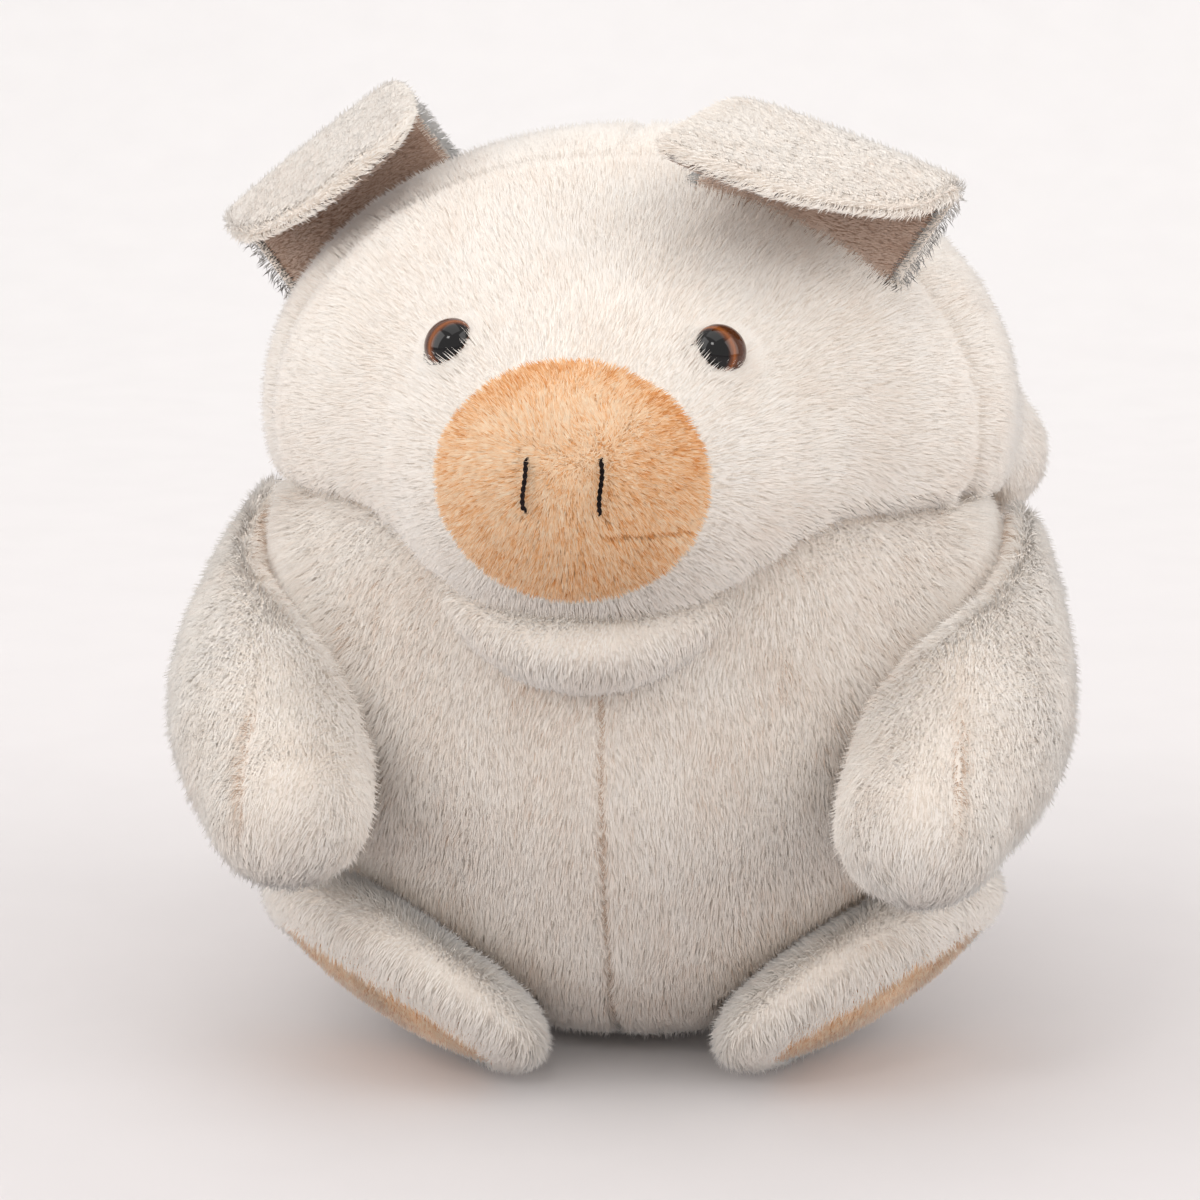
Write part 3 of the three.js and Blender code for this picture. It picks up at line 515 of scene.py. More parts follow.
def make_leg(name, side):
    leg = LEGS[name]
    outline = [(0.3, 0), (0.74, 0), (0.96, 0.3), (0.98, 0.66), (0.78, 0.96)]
    line = [(r * 44, 0.3 + h * 18) for r, h in outline] + [(17.6, 21.5), (6, 22.2), (0, 22.3)]
    line = curve_through(line, 60)
    along = unit(np.gradient(line, axis=0))
    line = line - 0.8 * SKIN * np.stack([along[:, 1], -along[:, 0]], axis=1)
    line[:, 1] = np.maximum(line[:, 1], 0.8)
    line = line[line[:, 0] > 2.0]
    count = 64
    turn = np.linspace(0, 2 * np.pi, count, endpoint=False)[:, None]

    def at(r, h):
        ring = leg["toe"] * (r * np.cos(turn)) + leg["wide"] * (r * 56 / 88 * np.sin(turn))
        return leg["at"] + ring + leg["out"] * h

    rows = [at(r, h) for r, h in line]
    p = np.vstack([[leg["at"] + leg["out"] * line[0, 1]], *rows, [leg["at"] + leg["out"] * line[-1, 1]]])
    p[:, 2] = np.maximum(p[:, 2], 2.0)
    return facing_out(mesh_object(name + "_leg_skin", p, ring_faces(len(rows), count)))


# Each ear: place from straight up, place ahead, lean, slope of the fold, tip shift, slant of the tip
EARS = {"left": (41, 0.52, 33, 20, 8, 0.85), "right": (57, -0.05, 39, 38, 7, 0.4)}
EAR_W, EAR_STEM, EAR_SUNK, EAR_BEND, EAR_FOLD, EAR_FLAP = 58.0, 9.0, 9.0, 8.0, rad(118), 30.0
EAR_TOTAL = EAR_STEM + EAR_SUNK + EAR_BEND * EAR_FOLD + EAR_FLAP
EAR_STATIONS = 72


def ear_axes(name, side):
    """Root, upright, outward and forward directions of an ear on the unturned head."""
    place, forward, lean, slope = EARS[name][:4]
    aside, lean, slope = rad(place) * side, rad(lean) * side, rad(slope)
    root = head_point((math.sin(aside), -forward, math.cos(aside)))[0]
    up = unit(np.array([math.sin(lean), 0.12, math.cos(lean)]))
    out = np.array([math.cos(slope) * side, 0, -math.sin(slope)])
    return root, up, out, unit(np.cross(up, out) * -side)


def ear_fold():
    """Rise and reach of the folded middle line, and the bend's angle, at each station."""
    s = EAR_TOTAL * (np.arange(EAR_STATIONS) + 0.5) / EAR_STATIONS
    stem = EAR_STEM + EAR_SUNK
    a = np.clip((s - stem) / EAR_BEND, 0, EAR_FOLD)
    rest = np.maximum(s - stem - EAR_BEND * EAR_FOLD, 0)
    rise = np.minimum(s, stem) - EAR_SUNK + EAR_BEND * np.sin(a) + rest * np.cos(a)
    reach = EAR_BEND * (1 - np.cos(a)) + rest * np.sin(a)
    return rise, reach, a


def make_ear(name, side):
    tip, slant = EARS[name][4:]
    root, up, out, ahead = ear_axes(name, side)
    rise, reach, bend = ear_fold()
    sides = 52
    rows = []
    turn = np.linspace(0, 2 * np.pi, sides, endpoint=False)
    x = np.sign(np.cos(turn)) * np.abs(np.cos(turn)) ** 0.7
    y = np.sign(np.sin(turn)) * np.abs(np.sin(turn)) ** 0.7
    for i in range(EAR_STATIONS):
        t = (i + 0.5) / EAR_STATIONS
        face = up * math.sin(bend[i]) - ahead * math.cos(bend[i])
        taper = math.sqrt(max(1 - max((t - 0.62) / 0.42, 0) ** 2.4, 0))
        shift = -tip * max(t - 0.4, 0) * 2 - slant * EAR_W / 2 * (1 - taper)
        wide = max(EAR_W / 2 * taper - 2.2, 1.0)
        ring = root + up * rise[i] + ahead * reach[i] + out * (shift + wide * x)[:, None]
        rows.append(ring + face * ((1 + taper) * y)[:, None])
    p = np.vstack([[rows[0].mean(0)], *rows, [rows[-1].mean(0)]])
    return facing_out(mesh_object(name + "_ear_skin", yawed(p), ring_faces(len(rows), sides)))


def ear_faces(p, name, side):
    """How far each point lies over the ear's middle sheet, and the way that the sheet's back faces."""
    root, up, out, ahead = ear_axes(name, side)
    rise, reach, bend = ear_fold()
    q = (yawed(p, back=True) - root) @ np.linalg.inv(np.stack([up, ahead, out]))
    high, far = q[:, :1] - rise, q[:, 1:2] - reach
    nearest = np.argmin(high**2 + far**2, axis=1)
    pick = np.arange(len(p))
    above = high[pick, nearest] * np.sin(bend[nearest]) - far[pick, nearest] * np.cos(bend[nearest])
    face = up * np.sin(bend[nearest])[:, None] - ahead * np.cos(bend[nearest])[:, None]
    return above, turned(face, (0, 0, 0), (0, 0, 1), HEAD_YAW)


def make_tail():
    joint = JOINTS["tail_twist"]
    root = np.array(joint["pos_m"]) / MM
    sway, reach, lift = (0, 0, 0.1, 0.45, 0.9), (0.2, 1.2, 2.1, 1.95, 1.2), (0, 0, 0.65, 1.45, 1.3)
    points = [root + 9 * np.array([sway[i], reach[i], lift[i]]) for i in range(5)]
    p, faces = limb(points, [3.2, 3.2, 2.7, 2.1, 1.4], 20, 30, 6)
    return facing_out(mesh_object("tail_skin", p, faces))


# Fur: closed bent tufts, thin at the root, widest at the bend and pointed at the tip
def triangles(ob):
    me = ob.data
    me.calc_loop_triangles()
    tri = np.empty(len(me.loop_triangles) * 3, np.int64)
    me.loop_triangles.foreach_get("vertices", tri)
    normal = np.empty(len(me.vertices) * 3)
    me.vertices.foreach_get("normal", normal)
    return tri.reshape(-1, 3), points_of(ob), normal.reshape(-1, 3)


def roots_on(ob, density, rng):
    tri, p, n = triangles(ob)
    a, b, c = p[tri[:, 0]], p[tri[:, 1]], p[tri[:, 2]]
    area = np.linalg.norm(np.cross(b - a, c - a), axis=1) / 2
    count = np.floor(area * density + rng.random(len(area))).astype(int)
    which = np.repeat(np.arange(len(tri)), count)
    u, v = rng.random(len(which)), rng.random(len(which))
    flip = u + v > 1
    u[flip], v[flip] = 1 - u[flip], 1 - v[flip]
    w = np.stack([1 - u - v, u, v], axis=1)[:, :, None]
    at = (p[tri[which]] * w).sum(1)
    normal = unit((n[tri[which]] * w).sum(1))
    return at, normal


def flat_nap(at, normal, nap, wild, rng, seed):
    """The way of the nap along the surface, with swirls and a little disorder."""
    flat = nap + wild * noise3(at, 11.0, seed) + 0.1 * noise3(at, 2.6, seed + 7)
    flat = flat + 0.12 * rng.normal(size=(len(at), 3))
    flat = flat - normal * (flat * normal).sum(1, keepdims=True)
    return unit(flat)


def tuft_spines(at, normal, flat, length, lean, rng, seed):
    """Root, bend and tip of each tuft; a few stand more upright."""
    count = len(at)
    tilt = np.clip(lean + 4 * noise(at, 6.0, seed + 11) + rng.normal(scale=4, size=count), 2, 80)
    tilt = np.where(rng.random(count) < 0.12, tilt * 0.45, tilt)
    low, high = np.radians(tilt * 0.6), np.radians(np.minimum(tilt * 1.55, 84))
    first = normal * np.cos(low)[:, None] + flat * np.sin(low)[:, None]
    second = normal * np.cos(high)[:, None] + flat * np.sin(high)[:, None]
    tall = length * (0.92 + 0.16 * rng.random(count)) * (1 + 0.05 * noise(at, 4.2, seed + 13))
    root = at - normal * 0.4
    bend = root + first * (tall * 0.56)[:, None]
    return root, bend, bend + second * (tall * 0.44)[:, None]


def tuft_rings(root, bend, tip, normal, width, rng):
    """Three points round the bend of each tuft."""
    axis = unit(tip - root)
    x = unit(np.cross(axis, normal + 0.01))
    y = np.cross(axis, x)
    spin = rng.random(len(root)) * 2 * np.pi
    wide = width * (0.8 + 0.4 * rng.random(len(root)))
    ring = []
    for k in range(3):
        a = spin + k * 2.0944
        ring.append(bend + (wide * np.cos(a))[:, None] * x + (wide * np.sin(a))[:, None] * y)
    return ring


def tufts(
    at, normal, nap, length, width, lean, rng, seed,
    clump=2.6, pull=0.08, wild=0.34, lit=None, mottle=0.16, speck=0.1,
):
    """The tufts that grow at these roots. They are lit as a surface with the normals lit."""
    flat = flat_nap(at, normal, nap, wild, rng, seed)
    root, bend, tip = tuft_spines(at, normal, flat, length, lean, rng, seed)
    cell = np.floor((at + 0.6 * clump * noise3(at, clump * 1.7, seed + 17)) / clump)
    draw = (cell + 0.5) * clump - at
    draw = draw - normal * (draw * normal).sum(1, keepdims=True)
    bend = bend + draw * (pull * 0.35)
    tip = tip + draw * pull
    ring = tuft_rings(root, bend, tip, normal, width, rng)
    cells = lattice(cell[:, 0], cell[:, 1], cell[:, 2], seed + 3)
    tone = 0.5 + 0.14 * noise(at, 13.0, seed + 19) + mottle * (cells - 0.5)
    tone = tone + speck * rng.normal(size=len(at))
    points = np.stack([root, *ring, tip], axis=1)
    points[:, :, 2] = np.maximum(points[:, :, 2], 0.25)
    shade = unit(points - bend[:, None]) * np.array([0.0, 1, 1, 1, 0.3])[None, :, None]
    shade = unit(0.12 * shade + (normal if lit is None else lit)[:, None])
    return Tufts(points, shade, np.clip(tone, 0.02, 0.98))


class Tufts:
    """Points and shading normals (n, 5, 3) and a tone (n,) for each tuft."""

    def __init__(self, points, shade, tone):
        self.points, self.shade, self.tone = points, shade, tone

    def only(self, part):
        return Tufts(self.points[part], self.shade[part], self.tone[part])

    def toned(self, change):
        return Tufts(self.points, self.shade, np.clip(self.tone + change, 0.02, 0.98))


TUFT_FACES = np.array([[0, 2, 1], [0, 3, 2], [0, 1, 3], [1, 2, 4], [2, 3, 4], [3, 1, 4]])
TUFT_V = np.array([0.02, 0.5, 0.5, 0.5, 0.98])
MOST_TUFTS = 32000  # in one piece


def pile_part(name, hair, material):
    count = len(hair.points)
    me = bpy.data.meshes.new(name)
    me.vertices.add(count * 5)
    me.vertices.foreach_set("co", (hair.points.reshape(-1, 3) * MM).astype(np.float32).ravel())
    index = (np.arange(count)[:, None, None] * 5 + TUFT_FACES[None]).reshape(-1)
    me.loops.add(len(index))
    me.loops.foreach_set("vertex_index", index.astype(np.int32))
    me.polygons.add(count * 6)
    me.polygons.foreach_set("loop_start", np.arange(0, len(index), 3, dtype=np.int32))
    me.polygons.foreach_set("use_smooth", np.ones(count * 6, bool))
    me.update(calc_edges=True)
    layer = me.uv_layers.new(name="OFBake")
    u = np.repeat(hair.tone, 5)[index]
    v = np.tile(TUFT_V, count)[index]
    layer.data.foreach_set("uv", np.stack([u, v], axis=1).astype(np.float32).ravel())
    soft = me.attributes.new("custom_normal", "FLOAT_VECTOR", "POINT")
    soft.data.foreach_set("vector", hair.shade.reshape(-1, 3).astype(np.float32).ravel())
    me.materials.append(material)
    ob = bpy.data.objects.new(name, me)
    ob.visible_shadow = False  # fine fibres let light through to their neighbours
    scene.collection.objects.link(ob)
    return ob


def pile(node, hair, material, body, slot):
    """The pile of one panel, in as many pieces as its tufts need."""
    parts = -(-len(hair.points) // MOST_TUFTS)
    order = np.argsort(hair.points[:, 0, 2], kind="stable")
    for i, part in enumerate(np.array_split(order, parts)):
        name = node + "_pile" + (f"_{i + 1}" if parts > 1 else "")
        finished(pile_part(name, hair.only(part), material), body, slot, node)


# Materials
def srgb(*c):
    out = []
    for v in c:
        v = v / 255
        out.append(v / 12.92 if v <= 0.04045 else ((v + 0.055) / 1.055) ** 2.4)
    return (*out, 1.0)


class Nodes:
    """A material and short ways to add to its nodes."""

    def __init__(self, name):
        self.material = bpy.data.materials.new(name)
        self.material.use_nodes = True
        self.tree = self.material.node_tree
        self.shader = self.tree.nodes["Principled BSDF"]

    def add(self, kind, **values):
        node = self.tree.nodes.new(kind)
        for key, value in values.items():
            if key in node.inputs:
                node.inputs[key].default_value = value
            else:
                setattr(node, key, value)
        return node

    def link(self, a, b):
        self.tree.links.new(a, b)

    def ramp(self, source, stops):
        node = self.add("ShaderNodeValToRGB")
        line = node.color_ramp
        while len(line.elements) < len(stops):
            line.elements.new(0.5)
        for e, (at, colour) in zip(line.elements, stops):
            e.position = at
            e.color = colour
        self.link(source, node.inputs["Fac"])
        return node.outputs["Color"]

    def times(self, a, b):
        node = self.add("ShaderNodeMix", data_type="RGBA", blend_type="MULTIPLY")
        node.inputs[0].default_value = 1.0
        self.link(a, node.inputs[6])
        self.link(b, node.inputs[7])
        return node.outputs[2]

    def set(self, **values):
        for key, value in values.items():
            self.shader.inputs[key.replace("_", " ")].default_value = value


def pile_material(name, seam_shade, dark, middle, light, root):
    """Pile whose tone runs from painted shade in seams and creases to light, and that is painted darker
    towards its root, as shade deep in the pile.
    """
    m = Nodes(name)
    uv = m.add("ShaderNodeUVMap", uv_map="OFBake")
    split = m.add("ShaderNodeSeparateXYZ")
    m.link(uv.outputs["UV"], split.inputs[0])
    # the tone's lowest stop is painted shade, reached where seams and creases are toned darker
    tone = m.ramp(split.outputs["X"], [(0.0, seam_shade), (0.2, dark), (0.5, middle), (1.0, light)])
    # painted shade: darker towards each tuft's root, for the shade deep in the pile
    depth = m.ramp(split.outputs["Y"], [(0.0, root), (0.55, (0.985, 0.975, 0.965, 1)), (1.0, (1, 1, 1, 1))])
    m.link(m.times(tone, depth), m.shader.inputs["Base Color"])
    m.set(Roughness=0.85, Specular_IOR_Level=0.15, Sheen_Weight=0.6, Sheen_Roughness=0.4)
    return m.material


def cloth_material(name, one, two, grain, bump):
    """A knitted backing: fine loops over a slow change of colour."""
    m = Nodes(name)
    place = m.add("ShaderNodeTexCoord")
    slow = m.add("ShaderNodeTexNoise", Scale=55.0, Detail=4.0)
    fine = m.add("ShaderNodeTexVoronoi", Scale=grain)
    m.link(place.outputs["Object"], slow.inputs["Vector"])
    m.link(place.outputs["Object"], fine.inputs["Vector"])
    colour = m.ramp(slow.outputs["Fac"], [(0.3, one), (0.7, two)])
    m.link(colour, m.shader.inputs["Base Color"])
    b = m.add("ShaderNodeBump", Strength=bump, Distance=0.0006)
    m.link(fine.outputs["Distance"], b.inputs["Height"])
    m.link(b.outputs["Normal"], m.shader.inputs["Normal"])
    m.set(Roughness=0.95, Specular_IOR_Level=0.1)
    return m.material


def fibre_material(name, one, two):
    """Loose polyester fibre: stretched noise over soft lumps."""
    m = Nodes(name)
    place = m.add("ShaderNodeTexCoord")
    thread = m.add("ShaderNodeTexNoise", Scale=420.0, Detail=8.0, Distortion=2.5)
    lump = m.add("ShaderNodeTexNoise", Scale=70.0, Detail=3.0)
    m.link(place.outputs["Object"], thread.inputs["Vector"])
    m.link(place.outputs["Object"], lump.inputs["Vector"])
    m.link(m.ramp(thread.outputs["Fac"], [(0.3, one), (0.7, two)]), m.shader.inputs["Base Color"])
    b = m.add("ShaderNodeBump", Strength=0.6, Distance=0.002)
    m.link(lump.outputs["Fac"], b.inputs["Height"])
    m.link(b.outputs["Normal"], m.shader.inputs["Normal"])
    m.set(Roughness=1.0)
    return m.material


def plastic_material(name, one, two, rough):
    """Moulded plastic with a fine grain."""
    m = Nodes(name)
    place = m.add("ShaderNodeTexCoord")
    grain = m.add("ShaderNodeTexNoise", Scale=900.0, Detail=3.0)
    m.link(place.outputs["Object"], grain.inputs["Vector"])
    m.link(m.ramp(grain.outputs["Fac"], [(0.3, one), (0.7, two)]), m.shader.inputs["Base Color"])
    b = m.add("ShaderNodeBump", Strength=0.1, Distance=0.0002)
    m.link(grain.outputs["Fac"], b.inputs["Height"])
    m.link(b.outputs["Normal"], m.shader.inputs["Normal"])
    m.set(Roughness=rough)
    return m.material


def eye_material():
    """A painted iris under a clear dome: the map's u runs from the pupil to the rim and v goes round."""
    m = Nodes("eye_iris")
    uv = m.add("ShaderNodeUVMap", uv_map="OFBake")
    split = m.add("ShaderNodeSeparateXYZ")
    m.link(uv.outputs["UV"], split.inputs[0])
    rays = m.add("ShaderNodeTexNoise", Scale=1.0, Detail=3.0)
    squeeze = m.add("ShaderNodeMapping")
    squeeze.inputs["Scale"].default_value = (3.0, 60.0, 1.0)
    m.link(uv.outputs["UV"], squeeze.inputs["Vector"])
    m.link(squeeze.outputs["Vector"], rays.inputs["Vector"])
    black = srgb(8, 6, 7)
    amber = [(0.76, srgb(74, 36, 15)), (0.88, srgb(158, 90, 42)), (1.0, srgb(84, 44, 20))]
    ring = m.ramp(split.outputs["X"], [(0.0, black), (0.7, black), *amber])
    streaks = m.ramp(rays.outputs["Fac"], [(0.3, (0.6, 0.55, 0.5, 1)), (0.7, (1, 1, 1, 1))])
    m.link(m.times(ring, streaks), m.shader.inputs["Base Color"])
    m.set(Roughness=0.04, Specular_IOR_Level=0.45)
    return m.material


# Tones from painted shade in a seam or crease to light, then the painted shade that the root takes of them
CREAM_TONES = (srgb(206, 178, 156), srgb(243, 231, 220), srgb(252, 245, 237), srgb(255, 252, 248))
TAN_TONES = (srgb(214, 138, 74), srgb(236, 176, 120), srgb(247, 207, 167), srgb(253, 232, 205))
# The ear's lining is the same cream plush; its darker, warmer tones are painted shade for the inside of the
# folded ear
SHADED_LINING_TONES = (srgb(160, 128, 108), srgb(186, 156, 138), srgb(206, 180, 163), srgb(224, 204, 190))
CREAM = pile_material("cream_pile", *CREAM_TONES, (0.97, 0.92, 0.87, 1))
# the tan root takes the most painted shade, to darken the gaps between its curls
TAN = pile_material("tan_pile", *TAN_TONES, (0.62, 0.52, 0.43, 1))
SHADED_LINING = pile_material("shaded_lining_pile", *SHADED_LINING_TONES, (0.7, 0.62, 0.56, 1))
CREAM_CLOTH = cloth_material("cream_backing", srgb(244, 232, 220), srgb(250, 242, 233), 900.0, 0.4)
# painted shade: the lining's backing is the cream backing darkened as in shade
SHADED_LINING_CLOTH = cloth_material("shaded_lining_backing", srgb(178, 146, 126), srgb(194, 164, 146), 900.0, 0.4)
TAN_CLOTH = cloth_material("tan_backing", srgb(214, 156, 104), srgb(226, 170, 120), 900.0, 0.4)
FILL = fibre_material("polyester_fibre", srgb(236, 234, 230), srgb(250, 249, 247))
BAG = cloth_material("bag_weave", srgb(200, 194, 184), srgb(220, 215, 206), 700.0, 0.8)
WASHER = plastic_material("washer_plastic", srgb(212, 211, 206), srgb(224, 223, 219), 0.5)
BLACK = plastic_material("eye_plastic", srgb(16, 14, 15), srgb(28, 25, 26), 0.3)
THREAD = cloth_material("black_thread", srgb(26, 20, 20), srgb(48, 40, 40), 2500.0, 0.8)
EYE = eye_material()


def finished(ob, body, slot, *nodes):
    """Rides on the body, in place of those nodes. The slot is not used."""
    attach(ob, body)
    if nodes:
        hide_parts(*nodes)
    return ob


def soft_skin(ob, body, material, fill, *nodes):
    """A stuffed skin of backing cloth."""
    ob.data.materials.clear()
    ob.data.materials.append(material)
    rounded(ob)
    finished(ob, body, "cream_plush", *nodes)
    return ob


def patch(ob, cloth, inside):
    """Gives another backing to the faces whose middle lies inside."""
    ob.data.materials.append(cloth)
    middle = np.empty(len(ob.data.polygons) * 3)
    ob.data.polygons.foreach_get("center", middle)
    within = inside(middle.reshape(-1, 3) / MM)
    ob.data.polygons.foreach_set("material_index", within.astype(np.int32))


def near_seam(distance, reach):
    """1 on the seam, 0 beyond its reach."""
    return 1 - smooth(np.abs(distance) / reach)


DENSITY = 3.2  # tufts on a square millimetre
WIDE, SHORT_WIDE = 0.13, 0.17  # half the width of a tuft of cream and of short tan pile
CURLED = {"clump": 1.3, "mottle": 0.3, "speck": 0.2}


# Torso
def torso_pins(p):
    return np.maximum.reduce([
        near_seam(p[:, 0], 4.0),
        near_seam(p[:, 1] - SIDE_SEAM, 4.0),
        (p[:, 2] < 6).astype(float),
        (p[:, 2] > 125).astype(float),
        *[((p - leg["at"]) @ leg["out"] > -8).astype(float) for leg in LEGS.values()],
    ])


TORSO_NODES = ("torso_front_left", "torso_front_right", "torso_back_left", "torso_back_right")
torso = make_torso()
puffed(torso, torso_pins, 5.0, 2.0)
soft_skin(torso, "torso", CREAM_CLOTH, 0.8, *TORSO_NODES)


def under_head(p):
    """Distance from the head, at rest and turned to each of its limits."""
    turns = (0.0, *JOINTS["head_turn"]["range_deg"])
    spot, up = (0, AXIS_Y, 0), (0, 0, 1)
    return [head_distance(yawed(turned(p, spot, up, -a), back=True)) for a in turns]


def fur_torso():
    rng = np.random.default_rng(11)
    at, normal = roots_on(torso, DENSITY, rng)
    under = under_head(at + normal * 4)
    keep = (np.max(under, axis=0) > -5.0) & (at[:, 2] > 3.8)
    pressed = under[0] < -5.0
    for leg in LEGS.values():
        local = at - leg["at"]
        h = local @ leg["out"]
        r = np.hypot(local @ leg["toe"] / 40, local @ leg["wide"] / 25)
        keep &= ~((h > -SKIN - 1.5) & (r < 1))
    at, normal, pressed = at[keep], normal[keep], pressed[keep]
    seam_x = near_seam(at[:, 0], 2.2)
    seam_y = near_seam(at[:, 1] - SIDE_SEAM, 3.0)
    seam = np.maximum(seam_x, seam_y)
    nap = np.tile([0.0, 0.0, -1.0], (len(at), 1))
    nap[:, 0] -= 0.8 * seam_x * np.sign(at[:, 0])
    nap[:, 1] -= 0.8 * seam_y * np.sign(at[:, 1] - SIDE_SEAM)
    fluff = near_seam(arm_gap(at), 8.0)
    length = 5.6 * (1 - 0.65 * seam) * np.where(pressed, 0.7, 1 + 0.75 * fluff)
    hair = tufts(at - normal * seam[:, None] * 0.6, normal, nap, length, WIDE, 42 - 16 * fluff, rng, 100)
    # painted shade: darker along the seams, and a little darker over the whole torso, as if shaded by the
    # head and arms
    hair = hair.toned(-0.42 * seam - 0.15)
    panels = {
        "torso_front_left": (at[:, 0] >= 0) & (at[:, 1] < SIDE_SEAM),
        "torso_front_right": (at[:, 0] < 0) & (at[:, 1] < SIDE_SEAM),
        "torso_back_left": (at[:, 0] >= 0) & (at[:, 1] >= SIDE_SEAM),
        "torso_back_right": (at[:, 0] < 0) & (at[:, 1] >= SIDE_SEAM),
    }
    for name, part in panels.items():
        pile(name, hair.only(part), CREAM, "torso", "cream_plush")


fur_torso()


# Head
def head_pins(p):
    eyes = [eye_place(side)[0] for _, side in SIDES]
    return np.maximum.reduce([
        near_seam(p[:, 1] - EAR_SEAM, 4.0),
        (p[:, 2] < 138).astype(float) * (torso_spread(p) < TORSO_W / 2 + 6),
        (p[:, 1] < MUZZLE_AT[1]).astype(float),
        *[(np.linalg.norm(p - eye, axis=1) < 14).astype(float) for eye in eyes],
    ])


head = make_head()
puffed(head, head_pins, 3.6, 1.6)
HEAD_NODES = (
    "head_face", "head_left_cheek", "head_right_cheek", "head_back_left", "head_back_right", "snout",
)
soft_skin(head, "head", CREAM_CLOTH, 0.85, *HEAD_NODES)


STITCH_SIDE = 8.5  # each nostril from the middle of the snout


def snout_reach(q):
    """Below 1 on the snout, measured on the unturned head."""
    r = np.hypot(q[:, 0] / (SNOUT_W / 2), (q[:, 2] - SNOUT_Z) / (SNOUT_H / 2))
    return np.where(q[:, 1] < MUZZLE_AT[1] - 10, r, 9.0)


patch(head, TAN_CLOTH, lambda p: snout_reach(yawed(p, back=True)) < 1.0)


def head_roots(rng):
    """Roots all over the head, and more of them round the eyes."""
    at, normal = roots_on(head, DENSITY * 1.05, rng)
    more, more_normal = roots_on(head, DENSITY * 3, rng)
    eyes = [yawed(eye_place(side)[0][None])[0] for _, side in SIDES]
    ring = np.min([np.linalg.norm(more - eye, axis=1) for eye in eyes], axis=0) < 9.5
    at, normal = np.vstack([at, more[ring]]), np.vstack([normal, more_normal[ring]])
    q = yawed(at, back=True)
    keep = at[:, 2] > torso_dome(np.minimum(torso_spread(at), TORSO_W / 2)) + 0.8
    keep &= snout_reach(q) > 1.0
    for _, side in SIDES:
        keep &= np.linalg.norm(q - eye_place(side)[0], axis=1) > 6.4
    return at[keep], normal[keep], q[keep]


def head_nap(at, q):
    """The nap runs away from the snout, and down behind the ears."""
    nap = unit(at - yawed(np.array([[0, MUZZLE_FRONT - 10, SNOUT_Z - 4]]))[0])
    nap[:, 2] -= 0.25
    behind = smooth((q[:, 1] - EAR_SEAM) / 40)[:, None]
    return nap * (1 - behind) + np.array([0, 0.2, -1]) * behind


def fur_head(rng):
    at, normal, q = head_roots(rng)
    cheek = near_seam(np.abs(q[:, 0]) - FACE_HALF, 2.6) * (q[:, 1] < EAR_SEAM)
    back = near_seam(q[:, 1] - EAR_SEAM, 3.2)
    middle = near_seam(q[:, 0], 3.0) * (q[:, 1] > EAR_SEAM)
    seam = np.maximum.reduce([cheek * 0.2, back, middle])
    length = 5.2 * (1 - 0.45 * seam)
    length = length * (0.7 + 0.3 * smooth((snout_reach(q) - 1.0) / 0.35))
    lean = np.full(len(at), 43.0)
    for _, side in SIDES:
        eye = eye_place(side)[0]
        near = np.linalg.norm(q - eye, axis=1)
        under = smooth((eye[2] + 3 - q[:, 2]) / 5)
        length = length * (1 + 0.4 * under * near_seam(near - 6.5, 6.0))
        lean = lean - 16 * near_seam(near, 11.0)
    sunk = at - normal * seam[:, None] * 0.6
    hair = tufts(sunk, normal, head_nap(at, q), length, WIDE, lean, rng, 200)
    front = q[:, 1] < EAR_SEAM
    panels = {
        "head_face": front & (np.abs(q[:, 0]) < FACE_HALF),
        "head_left_cheek": front & (q[:, 0] >= FACE_HALF),
        "head_right_cheek": front & (q[:, 0] <= -FACE_HALF),
        "head_back_left": ~front & (q[:, 0] >= 0),
        "head_back_right": ~front & (q[:, 0] < 0),
    }
    for name, part in panels.items():
        pile(name, hair.only(part), CREAM, "head", "cream_plush")


def fur_snout(rng):
    """Short tan pile, shorter in the crease and beside the stitches."""
    at, normal = roots_on(head, DENSITY * 4.0, rng)
    q = yawed(at, back=True)
    keep = (snout_reach(q) < 1.02) & (normal[:, 1] < -0.2)
    at, normal, q = at[keep], normal[keep], q[keep]
    low = (q[:, 2] - SNOUT_Z) / (SNOUT_H / 2)
    rim = smooth((snout_reach(q) - 0.72) / 0.28)
    nap = np.stack([q[:, 0], np.zeros(len(q)), q[:, 2] - SNOUT_Z - 3], axis=1)
    nap = nap / 16.0 + np.array([0, 0, -0.4])
    crease = near_seam(q[:, 2] - SNOUT_Z + 9, 1.3) * (q[:, 0] > 7) * (q[:, 0] < 25)
    # painted shade: lighter towards the top and darker low down, and darker in the crease; the tone also
    # turns more orange towards the rim of the upper half
    tint_and_shade = 0.06 * low - 0.3 * rim * smooth(low + 0.3) - 0.35 * crease
    stitch = near_seam(np.abs(q[:, 0]) - STITCH_SIDE, 1.6) * (np.abs(q[:, 2] - SNOUT_Z - 1) < 7)
    length = 3.8 * (1 - 0.5 * np.maximum(crease, stitch))
    root = at + normal * 0.4
    hair = tufts(root, normal, nap, length, SHORT_WIDE, 40, rng, 300, pull=0.4, wild=0.6, **CURLED)
    pile("snout", hair.toned(tint_and_shade), TAN, "head", "tan_plush")


head_rng = np.random.default_rng(12)
fur_head(head_rng)
fur_snout(head_rng)

chin = make_chin()
soft_skin(chin, "head", CREAM_CLOTH, 0.7, "chin")


def fur_chin():
    rng = np.random.default_rng(13)
    at, normal = roots_on(chin, DENSITY * 1.1, rng)
    q = yawed(at, back=True)
    keep = (head_distance(q) > -3.0) & (q[:, 1] < CHIN_AT[1] + 12)
    at, normal = at[keep], normal[keep]
    nap = np.tile([0.0, 0.2, -1.0], (len(at), 1))
    hair = tufts(at, normal, nap, np.full(len(at), 4.2), WIDE, 40, rng, 400)
    pile("chin", hair, CREAM, "head", "cream_plush")


